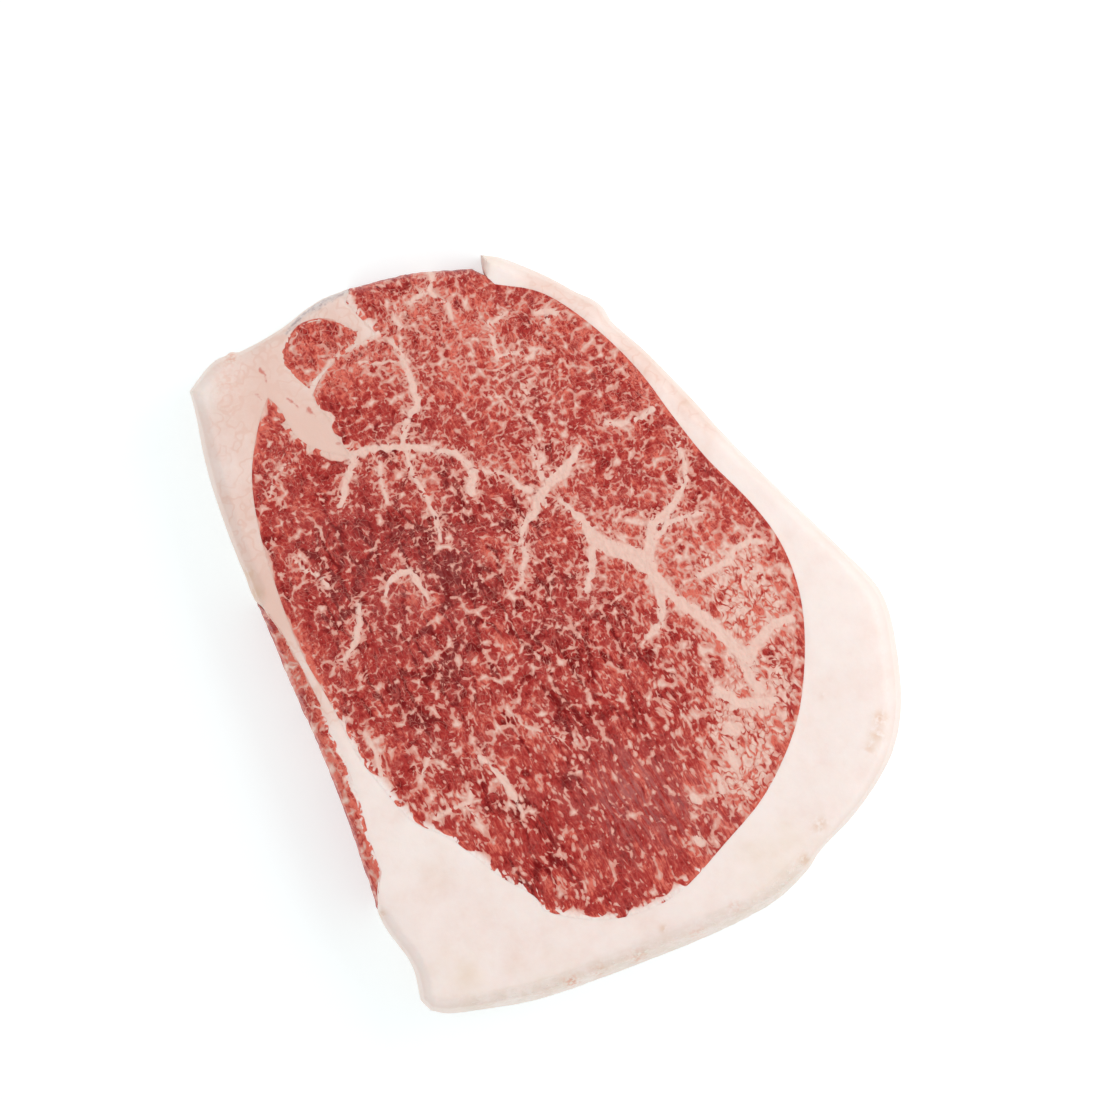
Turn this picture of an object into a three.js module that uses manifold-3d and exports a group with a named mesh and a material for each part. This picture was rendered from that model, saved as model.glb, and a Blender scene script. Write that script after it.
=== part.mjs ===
// A raw steak cut across the eye of the round: the lean eye, a small lobe of lean beside it and a thin
// strip of a neighbouring muscle, all held together by one cap of white fat.
// Millimetres. Z is up from the board, Y runs along the eye, X runs across it to the thick side of the fat.
import * as THREE from "three";
import { mergeVertices } from "three/addons/utils/BufferGeometryUtils.js";
import Module from "manifold-3d";

// Driving dimensions
const THICKNESS = 22; // board to cut face
const WAIST = 0.48; // share of the thickness where the outer wall bulges furthest
const GAP = 0.3; // clearance between two pieces that touch
const STEP = 3; // spacing of the points along every outline
const WALL_BANDS = 3; // bands of faces above the waist, and again below it
const FACE_RINGS = [0.94, 0.84, 0.71, 0.56, 0.4, 0.22]; // rings of the cut face, as shares of the way to its rim
const TOE_IN = 1.2; // how far the underside stands in from the widest outline
const EDGE = 1.3; // how far the cut face stands in from the widest outline, where nothing widens it
const FLAP_EDGE = 0.7; // the same at the thin end of the fat

// Places where the outer wall leans out under the cut face: centre, reach and extra width of the edge
const LEANING_WALLS = [
  { x: -8, y: -73, reach: 30, wider: 2.6 },
  { x: 54, y: -36, reach: 22, wider: 1.4 },
  { x: -57, y: 40, reach: 24, wider: 0.8 },
  { x: 34, y: 36, reach: 20, wider: 0.6 },
];

// Soft swells and hollows of the cut face: centre, reach and rise
const SWELLS = [
  { x: 4, y: -6, reach: 38, rise: 0.7 },
  { x: 40, y: -45, reach: 26, rise: 0.5 },
  { x: -38, y: 52, reach: 16, rise: -0.7 },
  { x: -46, y: -62, reach: 18, rise: -0.8 },
  { x: 14, y: 64, reach: 14, rise: -0.9 },
  { x: -52, y: 0, reach: 16, rise: -0.5 },
];

// The whole steak seen from above, in smooth stretches that meet at corners
const OUTLINE = [
  [
    // thin end of the fat, down the thick side
    [8.1, 70.4], [11.6, 68.5], [18.7, 61.9], [23.9, 55.8], [26.8, 52.8], [27.9, 48.5], [32, 40.7],
    [35.5, 32.5], [41.6, 17.5], [44.6, 10.8], [50.3, -1.5], [55.5, -12.5], [58.9, -21.5], [58.1, -31.4],
    [54.8, -43.5], [49.5, -52.1], [41.6, -58.8], [34, -63.1], [27.8, -66.3],
  ],
  [
    // along the foot to the lower corner
    [27.8, -66.3], [25.1, -68.3], [16, -71.8], [3.5, -73.3], [-8, -73.6], [-21.5, -73.5], [-34.1, -73],
    [-46.2, -70.9], [-54.5, -68.1], [-56.6, -64.7],
  ],
  [
    // up the trimmed side
    [-56.6, -64.7], [-55.7, -57.4], [-57.9, -49], [-58.1, -45.1], [-57.5, -32.5], [-57.3, -15],
    [-58.1, 2.9], [-58.6, 20.6], [-59.1, 33.3], [-58.6, 48], [-56.7, 60.6], [-56.1, 65.8],
  ],
  [
    // across the head to the notch beside the thin end of the fat
    [-56.1, 65.8], [-55.1, 67.1], [-52.5, 67.6], [-49.6, 69.7], [-43.7, 69.5], [-34.6, 70.9],
    [-28.6, 72.6], [-22.4, 73.6], [-11.4, 72.7], [-4.2, 71.4], [2.4, 69.4], [6, 68.3], [7.3, 66.2],
  ],
  [[7.3, 66.2], [8.1, 70.4]],
];

// The lean eye. Its head runs past the outline, so that there the lean itself is the outer wall.
const EYE = [
  [
    [7.3, 66.2], [8.5, 63.7], [15.2, 60], [19.8, 55.2], [25.1, 46.6], [29.4, 36.8], [32.4, 26],
    [35.6, 16], [40.7, 4.6], [43.4, -5], [43.4, -15.1], [40.9, -24.9], [35.9, -35.8], [30.4, -43.3],
    [21.8, -51.2], [11.4, -57], [0.6, -62.5], [-8.1, -63.9], [-17.2, -62.3], [-26.3, -57.1], [-27.5, -52.9],
    [-32.1, -47.8], [-39.3, -36.3], [-44.8, -31.1], [-48.2, -22.1], [-50.7, -13.7], [-51.5, -4.4],
    [-53.7, 10], [-53.4, 27.4], [-52.2, 37.7], [-49.8, 46.4], [-45, 54.8], [-41.8, 58.7],
  ],
  [[-41.8, 58.7], [-40.2, 55.1], [-40.1, 51], [-38.1, 47.1], [-34.2, 43.9], [-30.3, 41.7]],
  [
    [-30.3, 41.7], [-31.8, 47.9], [-31.8, 51.3], [-33.3, 54], [-32.9, 56.4], [-28.5, 59.9],
    [-23.1, 61.7], [-16.9, 62.9],
  ],
  [[-16.9, 62.9], [-18.5, 67], [-20.2, 71], [-18.7, 73.6]],
  [[-18.7, 73.6], [-16, 80]],
  [[-16, 80], [6, 80]],
  [[6, 80], [7.3, 66.2]],
];

// The lobe of lean that the fat closes off from the eye
const LOBE = [
  [
    [-33.3, 58], [-34.8, 60.8], [-36.2, 64.9], [-33.2, 68.6], [-29.4, 70.2], [-24.3, 68.7],
    [-21.1, 65.7], [-20.5, 63.7], [-25, 61.7], [-30.1, 60.3], [-33.3, 58],
  ],
];

// The strip of the neighbouring muscle, which also runs past the outline on its outer side
const STRIP = [
  [
    [-59.4, 22.6], [-57.6, 19], [-56, 12.8], [-54.5, 1.1], [-53.8, -9.3], [-53.6, -21.1],
    [-54.7, -31.2], [-54.7, -37.9], [-56.7, -40.9], [-58.6, -46],
  ],
  [[-58.6, -46], [-64, -46]],
  [[-64, -46], [-64, 22.6]],
  [[-64, 22.6], [-59.4, 22.6]],
];

const LEAN_RED = 0x9c3a36;
const STRIP_RED = 0xa3423c;
const FAT_CREAM = 0xf0ddd2;

const wasm = await Module();
wasm.setup();

// Points along a closed outline: each stretch is a spline, and the corners between stretches stay sharp.
function trace(stretches) {
  return stretches.flatMap((stretch) => {
    const curve = new THREE.SplineCurve(stretch.map(([x, y]) => new THREE.Vector2(x, y)));
    const count = Math.max(1, Math.round(curve.getLength() / STEP));
    return curve.getSpacedPoints(count).slice(0, -1);
  });
}

// The unit normal that points into a clockwise outline at each of its points.
function inwardNormals(points) {
  return points.map((_, i) => {
    const before = points.at(i - 1);
    const after = points[(i + 1) % points.length];
    return new THREE.Vector2(after.y - before.y, before.x - after.x).normalize();
  });
}

// An outline moved along its normals by its own distance at each point, inwards where that is positive.
function moved(points, distanceAt) {
  const normals = inwardNormals(points);
  return points.map((p, i) => p.clone().addScaledVector(normals[i], distanceAt(p)));
}

// A smooth hump of height 1 at its centre.
function hump({ x, y, reach }, p) {
  return Math.exp(-((p.x - x) ** 2 + (p.y - y) ** 2) / reach ** 2);
}

// Height of the cut face above the board.
function faceHeight(p) {
  return SWELLS.reduce((height, swell) => height + swell.rise * hump(swell, p), THICKNESS);
}

// How far the cut face stands in from the widest outline.
function edgeWidth(p) {
  const flap = hump({ x: 8.1, y: 70.4, reach: 6 }, p);
  const plain = EDGE + (FLAP_EDGE - EDGE) * flap;
  return LEANING_WALLS.reduce((width, wall) => width + wall.wider * hump(wall, p), plain);
}

// Closed skin through rings that all have the same number of points, with a point in the middle of each end.
function skin(rings, topMiddle, bottomMiddle) {
  const around = rings[0].length;
  const position = [topMiddle, ...rings.flat(), bottomMiddle].flatMap((v) => v.toArray());
  const last = rings.length * around + 1;
  const index = [];
  for (let i = 0; i < around; i++) {
    const next = (i + 1) % around;
    index.push(0, 1 + next, 1 + i);
    for (let ring = 0; ring + 1 < rings.length; ring++) {
      const upper = 1 + ring * around;
      const lower = upper + around;
      index.push(upper + i, upper + next, lower + i, upper + next, lower + next, lower + i);
    }
    const foot = 1 + (rings.length - 1) * around;
    index.push(last, foot + i, foot + next);
  }
  const geometry = new THREE.BufferGeometry();
  geometry.setAttribute("position", new THREE.Float32BufferAttribute(position, 3));
  geometry.setIndex(index);
  return geometry;
}

// The whole slab of meat: a soft cut face, a wall that bulges at the waist, and a flat underside.
function slab() {
  const widest = trace(OUTLINE);
  const rim = moved(widest, edgeWidth);
  const foot = moved(widest, () => TOE_IN);
  const rings = [...FACE_RINGS].reverse().map((share) =>
    rim.map((p) => {
      const q = p.clone().multiplyScalar(share);
      return new THREE.Vector3(q.x, q.y, faceHeight(q));
    }),
  );
  const waist = THICKNESS * WAIST;
  // Both halves of the wall are quarter ellipses in section.
  for (let band = 0; band <= WALL_BANDS; band++) {
    const turn = (band / WALL_BANDS) * (Math.PI / 2);
    rings.push(
      widest.map((p, i) => {
        const q = p.clone().lerp(rim[i], 1 - Math.sin(turn));
        return new THREE.Vector3(q.x, q.y, waist + (faceHeight(rim[i]) - waist) * Math.cos(turn));
      }),
    );
  }
  for (let band = 1; band <= WALL_BANDS; band++) {
    const turn = (band / WALL_BANDS) * (Math.PI / 2);
    rings.push(
      widest.map((p, i) => {
        const q = p.clone().lerp(foot[i], 1 - Math.cos(turn));
        return new THREE.Vector3(q.x, q.y, waist * (1 - Math.sin(turn)));
      }),
    );
  }
  const middle = new THREE.Vector2(0, 0);
  return skin(rings, new THREE.Vector3(0, 0, faceHeight(middle)), new THREE.Vector3(0, 0, 0));
}

// A straight cutter through the full thickness.
function cutter(points) {
  const beyond = 5;
  const geometry = new THREE.ExtrudeGeometry(new THREE.Shape(points), {
    depth: THICKNESS + 2 * beyond,
    bevelEnabled: false,
  });
  return geometry.translate(0, 0, -beyond);
}

// A three.js geometry as a solid that can be cut.
function solid(geometry) {
  const bare = geometry.clone();
  bare.deleteAttribute("normal");
  bare.deleteAttribute("uv");
  const merged = mergeVertices(bare, 1e-4);
  return new wasm.Manifold(
    new wasm.Mesh({
      numProp: 3,
      vertProperties: new Float32Array(merged.attributes.position.array),
      triVerts: new Uint32Array(merged.index.array),
    }),
  );
}

// A named piece from a cut solid.
function piece(name, cut, color, roughness) {
  const { vertProperties, triVerts } = cut.getMesh();
  const geometry = new THREE.BufferGeometry();
  geometry.setAttribute("position", new THREE.BufferAttribute(vertProperties, 3));
  geometry.setIndex(new THREE.BufferAttribute(triVerts, 1));
  geometry.computeVertexNormals();
  const mesh = new THREE.Mesh(
    geometry,
    new THREE.MeshStandardMaterial({ color, roughness, metalness: 0, flatShading: true }),
  );
  mesh.name = name;
  return mesh;
}

// Each muscle is what its outline cuts from the slab, and the fat is all that the muscles leave.
const whole = solid(slab());
const muscle = (stretches) => whole.intersect(solid(cutter(trace(stretches))));
const room = (stretches) => solid(cutter(moved(trace(stretches), () => -GAP)));
const fat = [EYE, LOBE, STRIP].reduce((left, stretches) => left.subtract(room(stretches)), whole);

const steak = new THREE.Group();
steak.add(
  piece("eye_muscle", muscle(EYE), LEAN_RED, 0.42),
  piece("corner_lobe", muscle(LOBE), LEAN_RED, 0.42),
  piece("side_muscle", muscle(STRIP), STRIP_RED, 0.45),
  piece("fat_cap", fat, FAT_CREAM, 0.5),
);

// The origin is the middle of the underside's box, on the board.
const box = new THREE.Box3().setFromObject(steak);
const middle = box.getCenter(new THREE.Vector3());
steak.position.set(-middle.x, -middle.y, -box.min.z);

export default steak;
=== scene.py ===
# %% [markdown]
# # A raw eye of round steak
#
# The steak lies on its lower cut face. An oval of marbled lean, a small lobe beside it and a thin strip of
# a neighbouring muscle are held by one cap of white fat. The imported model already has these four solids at
# their true size, with plain faces. This lesson gives each one a fine skin and a finish of its own: wet and
# marbled for the lean, firm and white for the fat. The steak is worked out in millimetres, which are divided
# by a thousand where Blender gets them. A few lengths are in metres, as Blender takes them: the floor's
# reach, the lamp, the camera's far limit, the weld of the solids and how far light goes into a finish.

import math

import bmesh
import bpy
import numpy as np
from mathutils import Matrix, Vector, kdtree
from mathutils.bvhtree import BVHTree
from mathutils.geometry import delaunay_2d_cdt


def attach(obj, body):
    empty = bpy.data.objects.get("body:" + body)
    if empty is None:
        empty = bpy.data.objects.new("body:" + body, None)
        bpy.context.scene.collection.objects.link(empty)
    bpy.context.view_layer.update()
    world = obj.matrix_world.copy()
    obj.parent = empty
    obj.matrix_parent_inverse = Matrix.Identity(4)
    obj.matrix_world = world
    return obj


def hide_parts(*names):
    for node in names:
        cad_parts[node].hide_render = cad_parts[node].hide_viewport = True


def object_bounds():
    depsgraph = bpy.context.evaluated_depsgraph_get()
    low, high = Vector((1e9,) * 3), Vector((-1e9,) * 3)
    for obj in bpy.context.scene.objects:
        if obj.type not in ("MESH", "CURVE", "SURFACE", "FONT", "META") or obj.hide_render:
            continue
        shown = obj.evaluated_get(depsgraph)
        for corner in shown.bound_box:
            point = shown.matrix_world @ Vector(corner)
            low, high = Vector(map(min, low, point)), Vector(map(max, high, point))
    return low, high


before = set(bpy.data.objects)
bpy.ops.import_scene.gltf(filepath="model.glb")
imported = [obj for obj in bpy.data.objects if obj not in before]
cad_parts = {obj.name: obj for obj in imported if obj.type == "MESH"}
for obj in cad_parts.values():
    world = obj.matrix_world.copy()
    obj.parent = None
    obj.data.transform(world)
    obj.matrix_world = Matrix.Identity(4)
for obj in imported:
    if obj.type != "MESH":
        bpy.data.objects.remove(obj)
cad_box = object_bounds()
MM = 0.001
LEAN_NODES = ("eye_muscle", "corner_lobe", "side_muscle")
NODES = LEAN_NODES + ("fat_cap",)
print("nodes in the frame:", ", ".join(sorted(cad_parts)))
print("size in mm:", [round((high - low) / MM, 1) for low, high in zip(*cad_box)])

# %% [markdown]
# ## The camera
#
# The photograph looks straight down on the cut face, with the steak turned nearly a quarter of a right angle.
# A long lens from far away keeps the walls out of sight, as they are there. A wide lens close by would
# show the walls all round and make the face look swollen.

# %% Put the camera above the cut face
VIEW_WIDTH = 220.0
FACE_HEIGHT = 22.0
CAMERA_DISTANCE = 6000.0
SENSOR_WIDTH = 36.0
VIEW_MIDDLE = (0.0, 10.2)
VIEW_TURN = math.radians(-21)
FURTHEST_SEEN_METRES = 100


def add_camera():
    """A long lens that looks straight down, with the frame's middle over VIEW_MIDDLE."""
    lens = bpy.data.cameras.new("camera_above")
    lens.sensor_width = SENSOR_WIDTH
    lens.lens = SENSOR_WIDTH * CAMERA_DISTANCE / VIEW_WIDTH
    lens.clip_end = FURTHEST_SEEN_METRES
    camera = bpy.data.objects.new("camera_above", lens)
    camera.location = (*(value * MM for value in VIEW_MIDDLE), (FACE_HEIGHT + CAMERA_DISTANCE) * MM)
    camera.rotation_euler = (0, 0, VIEW_TURN)
    bpy.context.scene.collection.objects.link(camera)
    bpy.context.scene.camera = camera
    return camera


print("lens in mm:", round(add_camera().data.lens))

# %% [markdown]
# ## Outlines from the solids
#
# Each solid is cut at its waist, where it is widest, and the cut gives its outline as a chain of points.
# Drawing the outlines again by hand would be a second copy of the same facts. Cutting the solid means that
# the finished piece stays where the solid is, whatever changes there. The points are joined by a smooth
# curve, except at the sharp corners of the fat, and set close together.

# %% Cut a solid and chain the cut edges
WELD = 1e-6
CORNER_TURN = math.radians(33)
STRAIGHT_TURN = math.radians(0.5)
CLOSEST = 0.02
WAIST = 10.57


def chained(edges):
    """Cut edges put in order as closed loops of points in millimetres."""
    beside = {}
    for edge in edges:
        first, second = edge.verts
        beside.setdefault(first, []).append(second)
        beside.setdefault(second, []).append(first)
    loops = []
    while beside:
        loop = []
        here = next(iter(beside))
        while here is not None:
            loop.append(here.co.xy / MM)
            onward = [vertex for vertex in beside.pop(here) if vertex in beside]
            here = onward[0] if onward else None
        loops.append(np.array(loop))
    return loops


def cut_loops(node, height):
    """The closed outlines of a solid at a height."""
    mesh = bmesh.new()
    mesh.from_mesh(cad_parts[node].data)
    bmesh.ops.remove_doubles(mesh, verts=mesh.verts, dist=WELD)
    parts = mesh.verts[:] + mesh.edges[:] + mesh.faces[:]
    plane = {"plane_co": (0, 0, height * MM), "plane_no": (0, 0, 1)}
    cut = bmesh.ops.bisect_plane(mesh, geom=parts, dist=1e-8, **plane)
    edges = [part for part in cut["geom_cut"] if isinstance(part, bmesh.types.BMEdge)]
    loops = chained(edges)
    mesh.free()
    return loops


waist_cuts = {node: cut_loops(node, WAIST) for node in NODES}
for node, loops in waist_cuts.items():
    print(node, "has loops of", [len(loop) for loop in loops], "points at its waist")


# %% Draw a smooth curve through each outline
def area_of(loop):
    """Area inside a loop, above zero where the loop runs anticlockwise."""
    x, y = loop.T
    return 0.5 * np.sum(x * np.roll(y, -1) - np.roll(x, -1) * y)


def turns_of(loop):
    """How far a loop turns at each of its points, in radians."""
    arriving = loop - np.roll(loop, 1, 0)
    leaving = np.roll(loop, -1, 0) - loop
    cross = arriving[:, 0] * leaving[:, 1] - arriving[:, 1] * leaving[:, 0]
    return np.arctan2(cross, (arriving * leaving).sum(1))


def tidied(loop):
    """A loop without points that lie together or on a straight line."""
    apart = np.linalg.norm(loop - np.roll(loop, 1, 0), axis=1) > CLOSEST
    loop = loop[apart]
    return loop[np.abs(turns_of(loop)) > STRAIGHT_TURN]


def smooth_run(points, spacing):
    """Evenly spaced points on a smooth curve through a run of points, without the last one."""
    steps = np.linalg.norm(np.diff(points, axis=0), axis=1)
    length = np.concatenate([[0.0], np.cumsum(steps)])
    slope = np.gradient(points, length, axis=0)
    at = np.linspace(0, length[-1], max(2, round(length[-1] / spacing)) + 1)[:-1]
    span = np.clip(np.searchsorted(length, at, side="right") - 1, 0, len(steps) - 1)
    share = ((at - length[span]) / steps[span])[:, None]
    rise = steps[span][:, None]
    start = (1 + 2 * share) * (1 - share) ** 2 * points[span]
    start = start + share * (1 - share) ** 2 * rise * slope[span]
    end = share**2 * (3 - 2 * share) * points[span + 1]
    end = end + share**2 * (share - 1) * rise * slope[span + 1]
    return start + end


def smooth_loop(loop, spacing):
    """A closed outline through a loop's points, smooth between its sharp corners."""
    loop = tidied(loop)
    corners = np.flatnonzero(np.abs(turns_of(loop)) > CORNER_TURN)
    first = corners[0] if len(corners) else 0
    loop = np.roll(loop, -first, 0)
    ends = list(corners - first) if len(corners) else [0]
    ends.append(len(loop))
    closed = np.vstack([loop, loop[:1]])
    runs = [smooth_run(closed[a : b + 1], spacing) for a, b in zip(ends, ends[1:])]
    return np.vstack(runs)


def outlines_of(node, spacing):
    """A solid's outlines at its waist: the largest first and anticlockwise, holes clockwise."""
    loops = sorted(waist_cuts[node], key=lambda loop: -abs(area_of(loop)))
    turned = []
    for n, loop in enumerate(loops):
        smooth = smooth_loop(loop, spacing)
        right_way = (area_of(smooth) > 0) == (n == 0)
        turned.append(smooth if right_way else smooth[::-1])
    return turned


SPACING = {"eye_muscle": 0.43, "corner_lobe": 0.4, "side_muscle": 0.4, "fat_cap": 0.5}
outlines = {node: outlines_of(node, SPACING[node]) for node in NODES}
for node, loops in outlines.items():
    print(node, "has outlines of", [len(loop) for loop in loops], "points")

# %% [markdown]
# ## How the walls stand
#
# The outer wall of a real slice isn't straight. It bulges at mid height and draws in towards both cut
# faces, where the knife leaves a rounded edge. The walls between lean and fat run straight through. Two
# more cuts of the solid, near the top and near the bottom, tell how far each wall point moves. That is
# simpler than firing rays at the wall, and it gives no movement where the wall is straight.

# %% Measure how far the walls draw in
UPPER_CUT = 20.46
LOWER_CUT = 1.42
HALF_WAY = 2.0
AVERAGED = 7
SHARED_AVERAGED = 5
TOUCHING = 0.6


def nearest_on(loops, points):
    """The nearest place on any of the loops for each point."""
    best = np.full(len(points), 1e9)
    found = np.zeros((len(points), 2))
    for loop in loops:
        start = loop[None]
        along = (np.roll(loop, -1, 0) - loop)[None]
        share = ((points[:, None] - start) * along).sum(2) / ((along**2).sum(2) + 1e-12)
        place = start + np.clip(share, 0, 1)[..., None] * along
        distance = np.linalg.norm(points[:, None] - place, axis=2)
        pick = distance.argmin(1)
        rows = np.arange(len(points))
        closer = distance[rows, pick] < best
        best = np.where(closer, distance[rows, pick], best)
        found[closer] = place[rows, pick][closer]
    return found, best


def averaged_along(values, count=AVERAGED):
    """Values along a closed loop, each averaged with its neighbours."""
    half = count // 2
    return sum(np.roll(values, shift, 0) for shift in range(-half, half + 1)) / (2 * half + 1)


def draw_in(node, loop, height):
    """How far the wall moves from its waist to the end of the solid, from a cut where half of it is done."""
    place, _ = nearest_on(cut_loops(node, height), loop)
    return averaged_along(HALF_WAY * (place - loop))


def shared_wall(node, loop):
    """1 where a loop runs along another piece, 0 where it is the steak's own outside."""
    others = [other for name in NODES if name != node for other in outlines[name]]
    _, distance = nearest_on(others, loop)
    return averaged_along((distance < TOUCHING).astype(float), SHARED_AVERAGED)


walls = {}
for node in NODES:
    walls[node] = []
    for loop in outlines[node]:
        wall = {"loop": loop, "top": draw_in(node, loop, UPPER_CUT), "foot": draw_in(node, loop, LOWER_CUT)}
        wall["shared"] = shared_wall(node, loop)
        walls[node].append(wall)
    reach = max(np.linalg.norm(wall["top"], axis=1).max() for wall in walls[node])
    print(node, "draws in by at most", round(float(reach), 2), "mm at its upper edge")

# %% [markdown]
# ## The height of the cut face
#
# The cut face isn't level: soft meat swells and sags a little. Rays fired down on the solids give its
# height on a coarse lattice, and averaging takes the flat facets out. A smoothing modifier on the solid
# would round the corners of the outline too, so the height is taken by itself.

# %% Fire rays down on the cut face
LATTICE = 1.5
MARGIN = 12.0
RAYS_START = 50.0
LOWEST_FACE = 18.0
SPREADINGS = 40
SMOOTHINGS = 7


def cad_tree():
    """All four solids as one tree for ray tests, in metres."""
    corners = []
    faces = []
    for node in NODES:
        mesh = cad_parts[node].data
        base = len(corners)
        corners.extend(vertex.co.copy() for vertex in mesh.vertices)
        faces.extend([base + index for index in polygon.vertices] for polygon in mesh.polygons)
    return BVHTree.FromPolygons(corners, faces)


def lattice_axis(axis):
    """Places of the lattice along X or Y, a little beyond the box on both sides."""
    return np.arange(cad_box[0][axis] / MM - MARGIN, cad_box[1][axis] / MM + MARGIN, LATTICE)


def measured_heights(tree, columns, rows):
    """Height of the cut face on the lattice, and nothing where no solid is."""
    heights = np.full((len(rows), len(columns)), np.nan)
    for r, y in enumerate(rows):
        for c, x in enumerate(columns):
            start = Vector((x * MM, y * MM, RAYS_START * MM))
            hit = tree.ray_cast(start, Vector((0, 0, -1)))[0]
            if hit is not None and hit.z / MM > LOWEST_FACE:
                heights[r, c] = hit.z / MM
    return heights


def neighbours_mean(grid):
    """The mean of each place's four neighbours and itself."""
    padded = np.pad(grid, 1, mode="edge")
    sides = padded[:-2, 1:-1], padded[2:, 1:-1], padded[1:-1, :-2], padded[1:-1, 2:]
    return (grid + sum(sides)) / (1 + len(sides))


def spread_outwards(heights):
    """Fills the places beyond the outline from the known ones, and smooths them all."""
    known = ~np.isnan(heights)
    filled = np.where(known, heights, np.nanmean(heights))
    for _ in range(SPREADINGS):
        filled = np.where(known, heights, neighbours_mean(filled))
    for _ in range(SMOOTHINGS):
        filled = neighbours_mean(filled)
    return filled


face_columns = lattice_axis(0)
face_rows = lattice_axis(1)
face_grid = spread_outwards(measured_heights(cad_tree(), face_columns, face_rows))


def face_height(place):
    """Height of the cut face over each place."""
    across = np.clip((place[:, 0] - face_columns[0]) / LATTICE, 0, len(face_columns) - 1.001)
    along = np.clip((place[:, 1] - face_rows[0]) / LATTICE, 0, len(face_rows) - 1.001)
    c = across.astype(int)
    r = along.astype(int)
    u = across - c
    v = along - r
    low = face_grid[r, c] * (1 - u) + face_grid[r, c + 1] * u
    high = face_grid[r + 1, c] * (1 - u) + face_grid[r + 1, c + 1] * u
    return low * (1 - v) + high * v


print("cut face from", round(float(face_grid.min()), 1), "to", round(float(face_grid.max()), 1), "mm")

# %% [markdown]
# ## Random numbers that never change
#
# The meat needs thousands of small irregular things, and each run of the script has to give the same ones.
# A random number here comes from a place: whole-number coordinates are stirred into one number. That needs
# no list of draws and no order of drawing, so pieces that meet agree along their border.

# %% Stir a place into a number
U32 = np.uint32


def stirred(cell, salt):
    """A number from 0 to 1 for each whole-number place, different for each salt.

    The large odd numbers only spread the digits. Any others like them would do.
    """
    whole = cell.astype(np.int64).astype(U32)
    with np.errstate(over="ignore"):
        mixed = whole[:, 0] * U32(374761393) + whole[:, 1] * U32(668265263) + whole[:, 2] * U32(2246822519)
        mixed = mixed + U32((salt * 974634777) & 0xFFFFFFFF)
        mixed = (mixed ^ (mixed >> U32(13))) * U32(1274126177)
        mixed = (mixed ^ (mixed >> U32(16))) * U32(2654435761)
        mixed = mixed ^ (mixed >> U32(15))
    return mixed / 4294967296.0


print("two neighbours stirred:", stirred(np.array([[1, 2, 3], [1, 2, 4]]), 7).round(3))

# %% Soft noise
CUBE = [np.array((x, y, z)) for x in (0, 1) for y in (0, 1) for z in (0, 1)]


def noise(place, size, salt):
    """Soft bumps of one size, from -1 to 1."""
    scaled = place / size
    cell = np.floor(scaled)
    share = scaled - cell
    share = share**3 * (share * (share * 6 - 15) + 10)
    total = 0
    for corner in CUBE:
        weight = np.where(corner, share, 1 - share).prod(1)
        total = total + weight * stirred(cell + corner, salt)
    return 2 * total - 1


def layered(place, size, salt, layers=3):
    """Soft bumps of several sizes, each half as large and half as strong as the one before."""
    parts = [noise(place, size / 2**n, salt + 17 * n) / 2**n for n in range(layers)]
    return sum(parts) / sum(0.5**n for n in range(layers))


def smooth_step(value, low, high):
    """0 below low, 1 above high and a soft slope between."""
    share = np.clip((value - low) / (high - low), 0, 1)
    return share * share * (3 - 2 * share)


def hump(place, x, y, reach):
    """A round hump that is 1 in its middle, whatever the height."""
    return np.exp(-((place[:, 0] - x) ** 2 + (place[:, 1] - y) ** 2) / reach**2)


def humps(place, spots):
    """Several humps together: each spot is x, y, reach and amount."""
    return sum(amount * hump(place, x, y, reach) for x, y, reach, amount in spots)


probe = np.array([[0.2, 0.3, 0.4], [5.1, 2.2, 9.0]])
print("noise at two places:", noise(probe, 3, 1).round(3))

# %% [markdown]
# ## Seeds scattered through the meat
#
# Muscle is made of bundles that run through the slice. One seed in each cell of a lattice, moved to a random
# place inside it, gives bundles of a like size with no visible order. Scattering the seeds freely would
# leave bare places and crowds. The cells are much deeper than wide, so that a bundle cut by a wall shows as
# an upright streak.

# %% Scatter seeds
AROUND = [np.array((x, y, z)) for x in (-1, 0, 1) for y in (-1, 0, 1) for z in (-1, 0, 1)]
JITTER = 0.95


def seed_of(cell, salt):
    """The seed's place in each cell, in cells."""
    moved = np.stack([stirred(cell, salt + n) for n in (1, 2, 3)], 1)
    return cell + 0.5 + JITTER * (moved - 0.5)


def hollows(place, size, depth, salt, share, reach):
    """Rounded hollows round a share of the seeds: 1 is the deepest, and below zero there is none."""
    stretch = np.array([size, size, depth])
    scaled = place / stretch
    cell = np.floor(scaled)
    best = np.full(len(place), -1.0)
    for side in AROUND:
        near = cell + side
        apart = (seed_of(near, salt) - scaled) * stretch / np.array([1, 1, depth / size])
        lot = stirred(near, salt + 5)
        size_lot = 0.6 + 0.8 * stirred(near, salt + 6)
        grown = size_lot * (1 - (apart**2).sum(1) / (reach * size_lot) ** 2)
        best = np.maximum(best, np.where(lot < share, grown, -1.0))
    return best


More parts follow.
